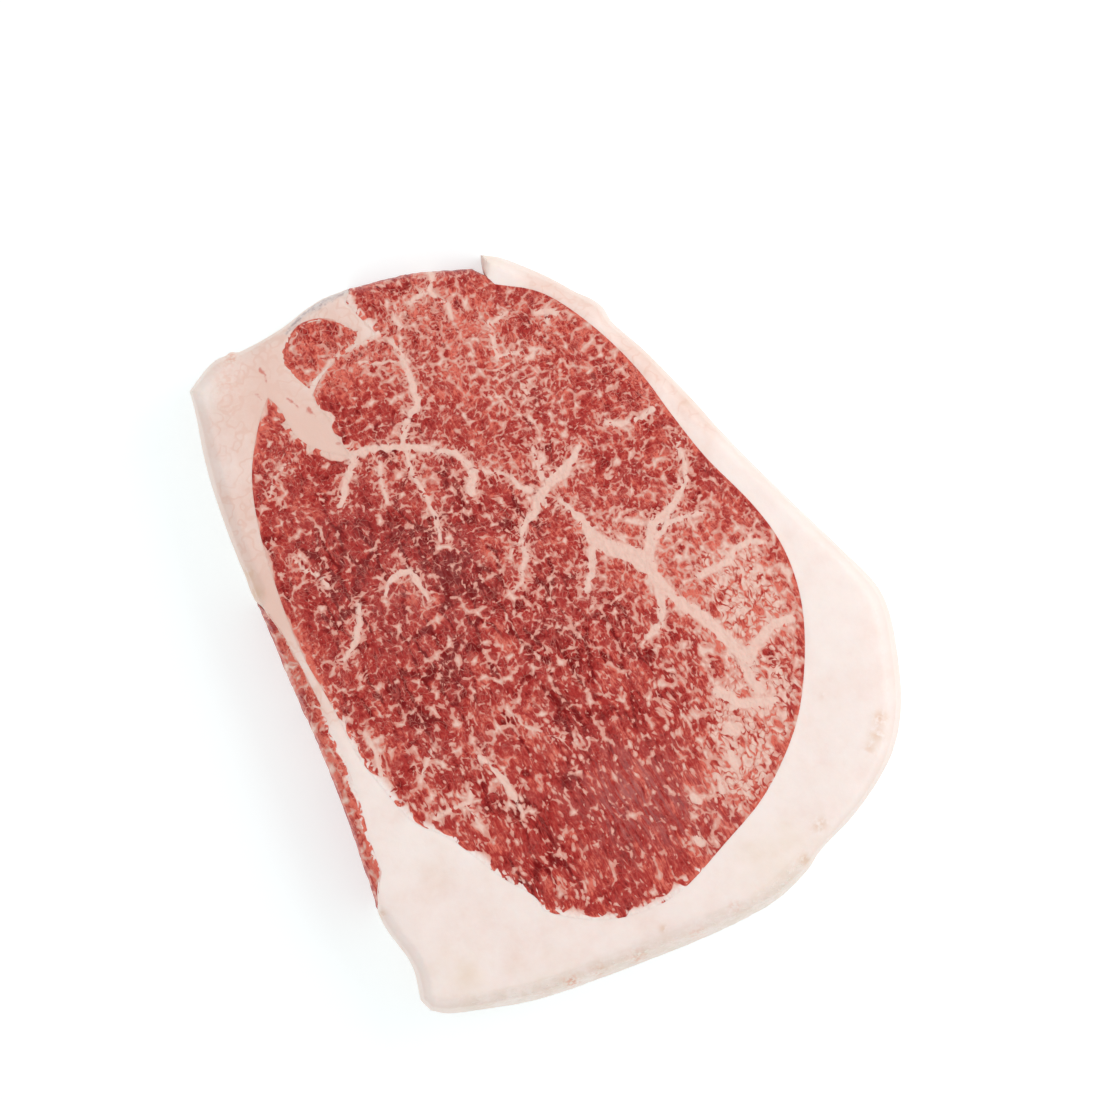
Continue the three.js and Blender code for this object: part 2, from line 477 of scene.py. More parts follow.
def border_distance(place, size, depth, salt):
    """Distance in mm to the border of the bundle that a place lies in."""
    scaled = place / np.array([size, size, depth])
    cell = np.floor(scaled)
    first = np.full(len(place), 1e9)
    second = np.full(len(place), 1e9)
    first_seed = np.zeros((len(place), 3))
    second_seed = np.zeros((len(place), 3))
    for side in AROUND:
        seed = seed_of(cell + side, salt)
        distance = ((seed - scaled) ** 2).sum(1)
        closest = (distance < first)[:, None]
        next_one = (distance < second)[:, None] & ~closest
        second_seed = np.where(closest, first_seed, np.where(next_one, seed, second_seed))
        second = np.where(closest[:, 0], first, np.where(next_one[:, 0], distance, second))
        first_seed = np.where(closest, seed, first_seed)
        first = np.where(closest[:, 0], distance, first)
    between = np.linalg.norm(second_seed - first_seed, axis=1)
    return (second - first) / (2 * between + 1e-9) * size


print("border distance at two places:", border_distance(probe, 3.2, 14, 5).round(2))

# %% [markdown]
# ## The seams of fat
#
# Besides fine marbling, the eye has thick white seams where its parts are joined. They are what makes this
# slice look like itself, so their courses are listed, each as a few points with a half width at its
# start and end. A noise texture could draw seams too, but not these ones.

# %% Lay down the seams
SEAMS = {
    "upper": [
        (1.0, 0.6, [(-30.2, 41.9), (-25.6, 41.8), (-20.2, 40.2), (-16.6, 38.4), (-10.6, 35.0)]),
        (0.6, 0.9, [(-10.6, 35.0), (-9.2, 31.9), (-9.2, 29.1), (-10.6, 26.7)]),
        (0.8, 0.8, [(-20.2, 40.2), (-18.4, 43.2), (-15.7, 45.8), (-13.7, 47.1)]),
        (0.8, 0.6, [(-13.7, 47.1), (-13.9, 54.9), (-14.0, 58.6), (-14.7, 60.6)]),
        (1.0, 0.6, [(-29.8, 42.0), (-31.2, 39.3), (-32.9, 37.8), (-34.3, 35.3), (-35.9, 33.4)]),
        (0.5, 0.4, [(-25.0, 39.9), (-26.2, 36.3), (-27.0, 30.8)]),
        (0.6, 0.4, [(-19.8, 38.5), (-20.3, 34.3), (-19.2, 28.9), (-19.1, 25.2), (-19.5, 19.8)]),
        (0.3, 0.24, [(-41.9, 45.5), (-45.5, 44.1), (-48.5, 40.1)]),
        (0.6, 0.8, [(-33.7, 13.9), (-31.8, 16.2), (-29.0, 16.8)]),
        (0.8, 0.5, [(-29.0, 16.8), (-27.2, 15.7), (-26.6, 12.4), (-26.6, 9.7)]),
        (0.5, 0.5, [(-48.3, 26.1), (-46.8, 23.4), (-44.3, 21.4), (-44.1, 19.2)]),
    ],
    "head": [
        (0.6, 0.6, [(-2.4, 70.2), (-3.6, 67.7), (-7.2, 66.9), (-8.6, 66.4)]),
        (0.5, 0.5, [(-3.8, 67.3), (-1.3, 63.2), (-1.9, 60.6)]),
        (0.5, 0.5, [(4.8, 57.2), (4.6, 53.0), (3.9, 49.8)]),
        (0.4, 0.4, [(4.9, 56.5), (6.9, 57.2), (8.9, 57.5)]),
        (0.5, 0.4, [(4.0, 50.2), (8.3, 49.0), (11.4, 48.8)]),
        (0.6, 0.8, [(14.2, 55.7), (16.4, 55.1), (18.1, 54.0)]),
        (0.8, 0.5, [(16.5, 54.8), (15.6, 52.6)]),
        (0.1, 0.1, [(-16.6, 62.6), (-14.7, 60.9)]),
        (0.7, 0.45, [(-16.6, 63.1), (-20.1, 62.3), (-24.5, 61.9)]),
        (0.45, 0.5, [(-24.5, 61.9), (-27.6, 60.9), (-30.6, 58.8), (-32.5, 58.0)]),
        (0.35, 0.5, [(-11.5, 67.0), (-12.6, 64.6), (-12.0, 62.4)]),
        (0.3, 0.3, [(-21.4, 57.8), (-18.3, 57.3), (-14.9, 56.2)]),
    ],
    "heart": [
        (0.8, 1.4, [(2.7, 21.6), (4.4, 22.8), (8.0, 23.8)]),
        (1.2, 0.5, [(8.0, 23.8), (11.1, 25.6), (13.1, 27.6)]),
        (0.6, 0.3, [(3.7, 24.2), (3.8, 28.0), (4.1, 30.4)]),
        (1.1, 0.7, [(2.7, 21.6), (0.2, 18.6), (-3.1, 16.5)]),
        (0.5, 0.2, [(-9.2, 30.8), (-5.1, 28.6), (-1.9, 26.3)]),
        (0.5, 0.7, [(-1.9, 26.3), (-1.2, 23.7), (0.6, 22.8)]),
        (0.7, 0.6, [(-3.1, 16.5), (-4.5, 13.6), (-5.0, 10.6)]),
        (0.6, 0.2, [(-5.0, 10.6), (-6.6, 8.6), (-7.4, 6.4), (-9.9, 5.0)]),
        (0.4, 0.15, [(-4.0, 14.4), (-6.6, 13.6), (-8.2, 11.2)]),
        (0.6, 0.3, [(2.8, 21.5), (2.3, 18.3)]),
    ],
    "main": [
        (0.4, 1.4, [(5.4, 18.8), (6.4, 16.9), (8.4, 13.6), (8.8, 9.8)]),
        (1.6, 1.8, [(8.8, 9.8), (11.3, 6.2), (14.6, 3.7), (17.1, 0.2)]),
        (1.4, 1.0, [(17.1, 0.2), (18.0, -3.8), (20.6, -8.7)]),
        (1.2, 1.4, [(20.6, -8.7), (23.7, -13.5), (26.3, -18.4), (29.3, -24.6)]),
        (1.0, 0.8, [(7.9, 6.9), (6.3, 3.2), (4.3, 0.2)]),
        (1.2, 1.0, [(17.9, 2.0), (19.6, 4.8), (20.9, 7.7), (23.9, 8.3)]),
        (0.8, 0.6, [(23.9, 8.3), (27.4, 10.8), (30.4, 13.5)]),
        (0.6, 0.6, [(30.4, 13.5), (31.2, 16.8), (31.4, 20.6), (32.2, 21.6)]),
        (0.8, 0.5, [(20.0, 4.2), (23.3, 6.8), (27.3, 7.0), (31.3, 6.3)]),
        (1.0, 0.8, [(17.5, -4.9), (16.6, -9.1), (15.4, -11.6)]),
        (0.8, 0.6, [(15.4, -11.6), (12.1, -12.9)]),
        (1.2, 1.0, [(29.4, -24.3), (31.9, -21.8), (36.5, -19.7), (39.9, -19.7)]),
        (0.6, 0.6, [(19.8, 30.0), (22.9, 28.6), (26.0, 28.3), (29.4, 29.3)]),
        (0.8, 0.6, [(32.4, -4.8), (34.9, -2.8), (38.0, -2.5), (40.4, -4.0)]),
        (0.8, 0.8, [(26.2, -5.2), (29.5, -5.0), (32.4, -4.8)]),
    ],
    "right": [
        (0.8, 1.2, [(27.5, -21.4), (28.2, -26.8), (29.2, -31.0)]),
        (1.2, 1.0, [(21.3, -28.0), (24.3, -31.9), (27.5, -33.2)]),
        (1.0, 0.8, [(27.5, -33.2), (31.7, -33.9)]),
        (1.2, 1.2, [(20.7, -35.7), (21.6, -36.7)]),
        (0.8, 0.8, [(19.1, -40.4), (19.2, -43.5)]),
        (0.8, 0.6, [(14.8, -43.9), (14.8, -47.3)]),
        (0.8, 0.8, [(9.1, -46.0), (9.8, -47.4)]),
        (0.8, 0.8, [(6.6, -54.1), (7.4, -55.2)]),
    ],
    "foot": [
        (0.5, 1.0, [(-28.2, -23.1), (-26.4, -26.2), (-25.0, -29.3)]),
        (1.0, 0.3, [(-25.0, -29.3), (-24.8, -32.1), (-24.3, -35.3), (-24.3, -37.5)]),
        (0.24, 0.2, [(-19.4, -16.2), (-17.5, -20.8), (-13.6, -24.2)]),
        (0.2, 0.16, [(-13.6, -24.2), (-10.3, -26.8), (-6.1, -27.4)]),
        (0.4, 0.4, [(-36.6, -18.8), (-39.3, -21.9), (-40.7, -23.7)]),
        (0.5, 0.5, [(-40.8, -31.8), (-38.6, -31.2), (-33.3, -31.4), (-32.1, -29.4)]),
        (0.5, 0.4, [(-33.6, -32.2), (-32.6, -36.9)]),
    ],
    "side": [
        (0.6, 0.6, [(-39.8, 13.7), (-40.6, 10.3), (-42.9, 7.2), (-46.0, 4.3)]),
        (0.5, 0.5, [(-47.9, -10.9), (-46.9, -15.5), (-47.5, -19.4), (-47.9, -22.0)]),
    ],
}
print("seams laid down:", {name: len(group) for name, group in SEAMS.items()})

# %% Work out how deep a place lies in a seam
SEAM_WANDER = 0.4
SEAM_LEAN = 0.02
LEAN_DIRECTION = np.array([[1.0, -1.5]])
FAR_OUTSIDE = -50.0


def course_depth(flat, start_width, end_width, course):
    """How deep places lie inside one seam, in mm, with its width changing evenly along it."""
    points = np.array(course)
    steps = np.linalg.norm(np.diff(points, axis=0), axis=1)
    length = np.concatenate([[0.0], np.cumsum(steps)])
    best = np.full(len(flat), FAR_OUTSIDE)
    for n, step in enumerate(steps):
        along = (points[n + 1] - points[n]) / step
        share = np.clip((flat - points[n]) @ along, 0, step)
        distance = np.linalg.norm(flat - points[n] - share[:, None] * along, axis=1)
        gone = (length[n] + share) / length[-1]
        best = np.maximum(best, start_width + (end_width - start_width) * gone - distance)
    return best


def seam_depth(place):
    """How deep each place lies inside the seams, in mm: above zero is fat."""
    wander = np.stack([layered(place, 3.5, 91, 2), layered(place, 3.5, 92, 2)], 1)
    leaning = SEAM_LEAN * (FACE_HEIGHT - place[:, 2:3]) * LEAN_DIRECTION
    flat = place[:, :2] + SEAM_WANDER * wander + leaning
    depths = [course_depth(flat, *seam) for group in SEAMS.values() for seam in group]
    return np.max(depths, axis=0)


in_widest_seam = np.array([[17.1, 0.2, FACE_HEIGHT]])
print("depth inside the widest seam:", round(float(seam_depth(in_widest_seam)[0]), 1), "mm")

# %% [markdown]
# ## How the lean changes over the slice
#
# One muscle isn't the same all over. This one is darker and purplish at its left, brighter and coarser at
# the head, and so rich in fat at its right that the lean is only thin curls there. The lower half is cut a
# little along the bundles, so its flecks are drawn out. Each of these could be painted on by hand with a
# brush. A few soft humps of influence do the same and can be moved by changing a number.

# %% Zones of the lean
# Each spot is x, y, reach and amount.
RICH_SPOTS = [
    (32, -16, 9, 1.0), (34, -6, 7, 0.58), (31, -33, 8, 0.62), (21, -38, 9, 0.9), (12, -7, 8, 0.25),
    (10, 26, 10, 0.25), (24, 0, 6, 0.45), (14, 9, 5, 0.4), (15, -38, 6, -0.3), (14, -8, 6, -0.2),
    (-4, 1, 7, 0.2), (-40, -14, 6, -0.15), (13, 36, 8, -0.25), (24, -46, 8, 0.9), (15, -52, 5, 0.4),
    (27, 17, 8, 0.2), (15, -24, 7, 0.4), (-5, 52, 9, 0.35), (7, 42, 7, 0.4), (-9, 64, 5, 0.2),
    (5, 33, 6, 0.2), (12, 41, 10, 0.1), (-36, 22, 18, -0.2), (8, -42, 12, -0.15), (-2, -58, 14, -0.45),
    (-42, 42, 12, -0.2), (38, 20, 7, -0.3), (-59, 6, 8, 0.35), (-59, -14, 9, 0.25), (-58, -34, 8, 0.15),
    (30, 29, 7, -0.5), (-45, 12, 8, -0.3), (-24, 12, 7, -0.3), (-27, 60, 7, -0.3), (-26, -42, 8, -0.12),
]
# The spots near x = -58 brighten the narrow strip at the left: partly its own brighter red, partly painted
# light against the shade on its rounded top. The spot at (0, -46) lightens the painted sheen there.
BRIGHT_SPOTS = [
    (-28, 63, 9, 1.4), (-6, 62, 14, 1.2), (14, 48, 13, 0.9), (34, 8, 8, 0.6), (26, 28, 12, 0.6),
    (31, -15, 13, 1.9), (-44, 54, 9, 1.3), (-8, 44, 11, 0.4), (20, -48, 10, 0.9), (0, -46, 12, 0.6),
    (24, 3, 8, 0.4), (-46, -27, 8, 0.6), (-34, 64, 6, 0.5), (20, 58, 7, 0.5), (31, 42, 7, 0.6),
    (34, -40, 9, 0.7), (2, -63, 8, 0.6), (-20, -60, 7, 0.5), (24, -36, 11, 0.8), (12, 2, 10, 0.5),
    (-30, 13, 17, -0.35), (-14, 0, 14, -0.1), (-24, 50, 8, 0.3), (-3, -60, 12, 0.1), (-47, 38, 8, 0.4),
    (-32, -24, 10, 0.4), (8, -42, 10, 0.1), (-59, -12, 9, 2.0), (-58, -30, 9, 2.0), (-59, 8, 9, 1.8),
    (-58, -46, 8, 1.2), (-36, 34, 7, 0.4), (33, 0, 8, 0.6), (11, 17, 6, 0.6), (-33, 60, 5, 0.4),
]
# Where a greyish sheen is painted on the lean in streaks, mostly at the foot; at the left it also dulls the
# flesh's own purplish red.
SHEEN_PATCH_SPOTS = [(-2, -45, 9, 1.0), (-5, -36, 8, 0.55), (-30, 14, 18, 0.35), (10, -48, 8, 0.45)]
TORN_SPOTS = [
    (-28, 64, 7, 1.0), (-8, 66, 12, 0.9), (14, 52, 8, 0.7), (27, 36, 9, 0.8), (-42, 48, 7, 0.4),
]
RAGGED_SPOTS = [
    (-13, -62, 10, 0.8), (0, -62, 7, 0.9), (-24, -56, 6, 0.7), (-35, -46, 7, 0.5), (-29, -52, 5, 0.2),
    (-46, -26, 8, 1.0), (-51, -11, 8, 0.7), (-40, -39, 6, 0.7), (-40, 52, 6, 0.8), (-35, 45, 6, 0.8),
    (-18, 68, 5, 1.0), (-32, 50, 5, 0.6), (-59, -15, 12, 0.7), (-60, -32, 10, 0.6), (-30, 66, 5, 0.5),
    (-52, 10, 10, 0.3), (-50, 30, 9, 0.35),
]
BRIGHT_BELOW = 0.3
FADE_HEIGHTS = (8, 20)
GRAIN = np.array([0.156, -0.988])
DRAWN_OUT = 1.5
DRAWN_FROM = 8.0
DRAWN_OVER = 10.0


def laid(place):
    """Places as the bundles lie: drawn out along the grain in the lower half and bent by soft noise."""
    along = place[:, :2] @ GRAIN
    across = place[:, :2] @ np.array([-GRAIN[1], GRAIN[0]])
    past = DRAWN_OVER * np.logaddexp(0, (along - DRAWN_FROM) / DRAWN_OVER)
    shorter = along - (1 - 1 / DRAWN_OUT) * past
    bent = np.stack([across, shorter, place[:, 2]], 1)
    bent[:, 0] += 0.6 * noise(place, 5.0, 41) + 0.12 * noise(place, 1.8, 43)
    bent[:, 1] += 0.6 * noise(place, 5.0, 42) + 0.12 * noise(place, 1.8, 44)
    return bent


def near_face(place, below):
    """1 at the cut face, and falling to a smaller share down the walls."""
    return below + (1 - below) * smooth_step(place[:, 2], *FADE_HEIGHTS)


def richness(place):
    """How much fat the lean holds: 0 is usual, 1 is almost all fat."""
    return humps(place, RICH_SPOTS) + 0.1 * noise(place, 9, 60)


right_of_eye = np.array([[31.0, -19.0, FACE_HEIGHT]])
print("richness at the right of the eye:", richness(right_of_eye).round(2))

# %% [markdown]
# ## Values that the finish needs
#
# A node texture is sharp at any distance, but it can't know where a listed seam runs. A value stored on
# the mesh knows the place but is only as fine as the mesh. So the slow things are stored here: the seams,
# how rich in fat and how light each place is, where the face is torn, and how far it is to the fat around
# the muscle. The fine edges are left to the nodes.

# %% Work out the stored values of the lean
BUNDLE_SIZE = 3.2
BUNDLE_DEPTH = 16.0
LAID_SHARE = np.array([1, 1, 0.2])
GRAIN_SHOWS = (6.0, 30.0)
CALM_WITHIN = 1.4


def lean_values(place, edge):
    """Named values for the lean at each place. edge is the distance to the fat around it, in mm."""
    bright = humps(place, BRIGHT_SPOTS) * near_face(place, BRIGHT_BELOW)
    return {
        "laid": laid(place) * LAID_SHARE,
        "seam": seam_depth(place),
        "grained": smooth_step(place[:, :2] @ GRAIN, *GRAIN_SHOWS),
        "rich": richness(place),
        "tone": bright + 0.35 * layered(place, 7, 610),
        # dull marks where the greyish sheen is painted.
        "dull": humps(place, SHEEN_PATCH_SPOTS),
        "torn": humps(place, TORN_SPOTS),
        "ragged": humps(place, RAGGED_SPOTS),
        "edge": edge,
    }


def calm_at_borders(edge):
    """Fades relief out where lean and fat meet, so that their faces meet too."""
    return smooth_step(edge, 0.0, CALM_WITHIN)


BORDER_SINKS = 0.16
BORDER_WIDTH = 0.35
RAGGED_HEIGHT = 0.22
TEAR_DEPTH = 0.35
SEAM_RISES = 0.04


def lean_relief(place, values):
    """Height of the lean's surface above its smooth form, in mm: bundles swell and the borders sink."""
    soft = 0.14 * noise(place, 6.5, 700) + 0.07 * noise(place, 2.4, 701)
    to_border = border_distance(laid(place), BUNDLE_SIZE, BUNDLE_DEPTH, 100)
    border = BORDER_SINKS * np.exp(-((to_border / BORDER_WIDTH) ** 2))
    tears = np.clip(hollows(place, 4.2, 12, 730, 0.7, 0.9), 0, 1)
    values["tear"] = tears * np.clip(values["torn"] * 1.3, 0, 1)
    ragged = RAGGED_HEIGHT * values["torn"] * layered(place, 1.6, 740, 2)
    seams = SEAM_RISES * smooth_step(values["seam"], -0.5, 0.6)
    height = soft - border + ragged - TEAR_DEPTH * values["tear"] + seams
    return height * calm_at_borders(values["edge"])


values_there = lean_values(right_of_eye, np.array([9.0]))
print("values at the right of the eye:", {name: value[0].round(2) for name, value in values_there.items()})

# %% [markdown]
# ## The fat's own marks
#
# The cap is firm and smooth, pinker by the lean on the left, and whitest on the right. It carries a few
# marks: a yellowish corner with a small tag of fat, thin red streaks in the wedge, a grey film at the head,
# small brown stains at the right, and a rough band along the foot where the skin side shows. An image could
# hold them all, but marks at places in millimetres stay sharp and run on over the walls.

# %% Zones of the fat
PINK_SPOTS = [
    (-45, 60, 12, 0.85), (-37, 68, 6, 0.4), (-54, 65, 4, -0.5), (-36, 49, 8, 0.9), (-29, 43, 6, 0.7),
    (-24, 66, 8, 0.85), (-53, 40, 9, 0.7), (-57, 20, 12, 1.2), (9, 68, 4, -0.3), (21, 60, 9, 0.6),
    (34, 41, 9, 0.8), (41, 27, 8, 0.65), (26, 52, 7, 0.3), (-40, -52, 18, 0.15), (-10, -66, 18, 0.12),
    (-52, -2, 9, 0.5),
]
YELLOW_SPOTS = [
    (-54.8, 65.7, 2.6, 0.3), (9, 69, 4, 0.3), (-47, -63, 7, 0.35), (-44, -40, 7, 0.2),
    (20, -65, 11, 0.35), (-31, -68, 8, 0.2),
]
STREAKS = [
    (0.5, 0.1, [(-41.2, 64.6), (-40.7, 63.2), (-40.9, 61.9)]),
    (0.35, 0.1, [(-38.2, 57.2), (-37.2, 55.9), (-36.9, 54.6)]),
    (0.45, 0.1, [(-35.2, 53.9), (-34.4, 52.6), (-34.2, 51.2)]),
    (0.3, 0.1, [(-31.9, 45.6), (-31.2, 44.4)]),
    (0.25, 0.1, [(-43.8, 60.4), (-43.2, 58.8)]),
    (0.2, 0.1, [(-28.7, 47.5), (-28.5, 46.2), (-29.2, 44.8)]),
]
STAINS = [
    (49.6, -44.8, 1.4, 0.7), (47.8, -47.7, 1.5, 0.6), (45.5, -49.7, 1.2, 0.5), (30.7, -60.5, 1.6, 0.6),
    (25.4, -66.0, 1.2, 0.7), (40.6, -36.5, 0.9, 0.3), (-57.7, -45.9, 0.8, 0.9), (-56.7, -53.8, 0.8, 0.8),
    (-58.6, 23, 1.8, 0.9), (-58.4, 27.4, 1.6, 0.8), (36, 28, 0.8, 0.5), (-20.4, -70.9, 0.9, 0.6),
    (-6, -68.6, 0.8, 0.6),
]
BLUSHES = [
    (-26.9, -72.3, 1.5, 1.0), (-21.1, -72.8, 1.6, 0.6), (-12.6, -72.8, 1.8, 0.7), (8.9, -69.9, 1.2, 0.5),
    (-47.7, 64.5, 3.2, 0.3), (-45.9, 69.6, 1.4, 1.2), (-33, -73, 1.5, 0.4), (0, -72.5, 2, 0.4),
]
PINK_BELOW = 0.35
FOOT_BAND = 3.8
FOOT_BAND_BLUR = (2.4, 0.8)
TAG = (-45.6, 69.6, 0.9)
TAG_HEIGHT = 0.9
MARKS_FADE = (9.0, 20.0)
FILM = [(0.1, 0.9, [(-33.5, 69.6), (-29.1, 72.3), (-26.0, 73.0)]), (0.9, 0.2, [(-26.0, 73.0), (-18.5, 73.3)])]


def pinkness(place):
    """How pink the fat is at each place: most at the cut face, and less far down the walls."""
    return humps(place, PINK_SPOTS) * near_face(place, PINK_BELOW) + 0.25 * layered(place, 9, 800)


def streak_depth(place):
    """How deep places lie inside the thin red streaks of the wedge, in mm."""
    flat = place[:, :2] + 0.3 * np.stack([noise(place, 1.2, 95), noise(place, 1.2, 96)], 1)
    return np.max([course_depth(flat, *streak) for streak in STREAKS], axis=0)


def foot_band(place, outside):
    """1 in the rough band along the foot, from one corner of it to the other."""
    x, y = place[:, 0], place[:, 1]
    inward = outside + 0.9 * layered(place, 4, 840)
    band = 1 - smooth_step(inward, FOOT_BAND - FOOT_BAND_BLUR[0], FOOT_BAND + FOOT_BAND_BLUR[1])
    return smooth_step(-y, 60, 66) * smooth_step(x, -56, -44) * smooth_step(-x, -32, -20) * band


def fat_values(place, edge, outside):
    """Named values for the fat, from the distance to the lean and the distance to the steak's outside."""
    corner = 0.35 * hump(place, -52, 63, 7)
    above = smooth_step(place[:, 2], *MARKS_FADE)
    film = np.max([course_depth(place[:, :2], *part) for part in FILM], axis=0)
    return {
        "yellow": humps(place, YELLOW_SPOTS) + 0.12 * layered(place, 5, 810),
        "streak": streak_depth(place) - 2 * (1 - above),
        "stain": humps(place, STAINS) * above,
        "blush": (humps(place, BLUSHES) + 1.2 * hump(place, *TAG)) * above,
        "film": film - 2 * (1 - above),
        "rough": np.clip(foot_band(place, outside) + 0.8 * corner, 0, 1),
        "edge": edge,
        "outside": outside,
    }


def fat_relief(place, values):
    """Height of the fat's surface above its smooth form, in mm."""
    soft = 0.16 * noise(place, 9, 820) + 0.06 * noise(place, 3.2, 821) + 0.02 * noise(place, 1.3, 822)
    grains = 0.16 * values["rough"] * layered(place, 1.5, 830, 2)
    tag = TAG_HEIGHT * hump(place, *TAG)
    return (soft + grains + tag) * calm_at_borders(values["edge"])


middle_of_wedge = np.array([[-35.0, 49.0, FACE_HEIGHT]])
print("pinkness in the wedge:", pinkness(middle_of_wedge).round(2))

# %% [markdown]
# ## One closed skin for each piece
#
# A piece's skin has three parts that share their border points: the cut face, the wall and the underside.
# The faces are filled with a fine triangle lattice, joined to the border by constrained triangulation. A
# voxel remesh would give one even size everywhere; this way the cut face gets most of the points.

# %% Fill an outline with points
KEEP_OFF = 0.62


def crossings(loops, y):
    """Sorted places where a level line crosses the loops."""
    found = []
    for loop in loops:
        after = np.roll(loop, -1, 0)
        hit = (loop[:, 1] > y) != (after[:, 1] > y)
        a = loop[hit]
        b = after[hit]
        found.append(a[:, 0] + (y - a[:, 1]) / (b[:, 1] - a[:, 1]) * (b[:, 0] - a[:, 0]))
    return np.sort(np.concatenate(found))


def points_inside(loops, spacing):
    """A triangle lattice of points inside the first loop and outside the others."""
    low = loops[0].min(0)
    high = loops[0].max(0)
    rows = []
    for n, y in enumerate(np.arange(low[1], high[1], spacing * math.sqrt(0.75))):
        columns = np.arange(low[0] + (n % 2) * spacing / 2, high[0], spacing)
        passed = np.searchsorted(crossings(loops, y), columns)
        inside = columns[passed % 2 == 1]
        rows.append(np.stack([inside, np.full(len(inside), y)], 1))
    return np.vstack(rows)


SQUARE = [np.array([[0.0, 0.0], [4.0, 0.0], [4.0, 4.0], [0.0, 4.0]])]
print("lattice points in a square of 4 mm:", len(points_inside(SQUARE, 0.5)))

# %% Find the nearest border point
def tree_of(points):
    """A search tree over flat points."""
    tree = kdtree.KDTree(len(points))
    for n, (x, y) in enumerate(points):
        tree.insert((x, y, 0), n)
    tree.balance()
    return tree


def nearest_border(tree, points):
    """Index of and distance to the nearest border point for each point."""
    found = [tree.find((x, y, 0))[1:] for x, y in points]
    index, distance = zip(*found)
    return np.array(index), np.array(distance)


corner_distance = nearest_border(tree_of(SQUARE[0]), np.array([[2.0, 2.0]]))[1]
print("from the middle of the square to a corner:", round(float(corner_distance[0]), 2), "mm")

# %% Join the points with triangles
def inside(loops, places):
    """Whether each place is inside the first loop and outside the others."""
    x, y = places[:, :1], places[:, 1:]
    crossed = np.zeros(len(places), int)
    for loop in loops:
        after = np.roll(loop, -1, 0)
        spans = (loop[:, 1] > y) != (after[:, 1] > y)
        run = (after[:, 0] - loop[:, 0]) / (after[:, 1] - loop[:, 1] + 1e-12)
        crossed += (spans & (x < loop[:, 0] + (y - loop[:, 1]) * run)).sum(1)
    return crossed % 2 == 1


def lattice_of_triangles(loops, points):
    """All places with those that the triangulation adds, and triangles that fill the outline."""
    starts = np.cumsum([0] + [len(loop) for loop in loops])
    edges = [(a + (n - 1) % (b - a), a + n) for a, b in zip(starts, starts[1:]) for n in range(b - a)]
    flat = [Vector(point) for point in points]
    made, _, triangles, origins, *_ = delaunay_2d_cdt(flat, edges, [], 0, 1e-7, True)
    places = list(points)
    index = []
    for place, origin in zip(made, origins):
        index.append(min(origin) if origin else len(places))
        if not origin:
            places.append(np.array(place))
    triangles = np.array(index)[np.array(triangles)]
    places = np.array(places)
    on_border = (triangles < starts[-1]).all(1)
    kept = inside(loops, places[triangles[on_border]].mean(1))
    return places, np.vstack([triangles[~on_border], triangles[on_border][kept]])


def filled(loops, spacing):
    """Places that fill the loops, border ones first, each with its nearest border point, and triangles."""
    border = np.vstack(loops)
    tree = tree_of(border)
    inner = points_inside(loops, spacing)
    _, distance = nearest_border(tree, inner)
    points = np.vstack([border, inner[distance > KEEP_OFF * spacing]])
    places, triangles = lattice_of_triangles(loops, points)
    index, distance = nearest_border(tree, places)
    return places, index, distance, triangles


print("triangles that fill the square:", len(filled(SQUARE, 0.5)[-1]))

# %% Shape a wall point at any height
GROWS = {"eye_muscle": 0.2, "corner_lobe": 0.45, "side_muscle": 0.2, "fat_cap": 0.3}
ROUNDING = 1.4
ROUNDING_DEPTH = 0.65


def outward(loop):
    """Unit normals that point away from the material along a loop."""
    along = np.roll(loop, -1, 0) - np.roll(loop, 1, 0)
    along = along / (np.linalg.norm(along, axis=1)[:, None] + 1e-9)
    return np.stack([along[:, 1], -along[:, 0]], 1)


def wall_at(wall, height, top, grows):
    """Places of a wall's points at a height, on two quarter ellipses that meet at the waist."""
    up = np.clip((height - WAIST) / (top - WAIST), 0, 1)
    down = np.clip((WAIST - height) / WAIST, 0, 1)
    upper = (1 - np.sqrt(1 - up**2))[:, None] * wall["top"]
    lower = (1 - np.sqrt(1 - down**2))[:, None] * wall["foot"]
    meet = grows * wall["shared"][:, None] * outward(wall["loop"])
    return wall["loop"] + upper + lower + meet


def rounded_drop(distance):
    """How far the cut face falls towards its outer edge, in mm."""
    left = np.clip(1 - distance / ROUNDING, 0, 1)
    return ROUNDING_DEPTH * (1 - np.sqrt(1 - left**2))


print("the cut face falls", round(float(rounded_drop(0.0)), 2), "mm at its outer edge")

# %% Build the cut face and the underside
SUNK = 0.12
UNDERLAP = {"eye_muscle": 0.0, "corner_lobe": 0.05, "side_muscle": 0.0, "fat_cap": 0.07}
UNDERLAP_REACH = 0.35
FOOT_LIFT = 0.4
FOOT_LIFT_REACH = 1.2


def face_points(places, distance, beside, underlap):
    """The cut face: it falls to its outer edge, and a little where it slips under another piece."""
    height = face_height(places) - SUNK - (1 - beside) * rounded_drop(distance)
    height = height - underlap * beside * np.clip(2 - distance / UNDERLAP_REACH, 0, 1)
    return np.column_stack([places, height])


def foot_points(places, distance, beside, underlap):
    """The underside: flat, and lifted a little at its outer edge and where it slips under another piece."""
    height = FOOT_LIFT * (1 - beside) * np.clip(1 - distance / FOOT_LIFT_REACH, 0, 1) ** 2
    height = height + underlap * beside * np.clip(2 - distance / UNDERLAP_REACH, 0, 1)
    return np.column_stack([places, height])


print("the underside is lifted", FOOT_LIFT, "mm at its outer edge")

# %% Add the walls
WALL_BANDS = {"eye_muscle": 14, "corner_lobe": 8, "side_muscle": 30, "fat_cap": 32}


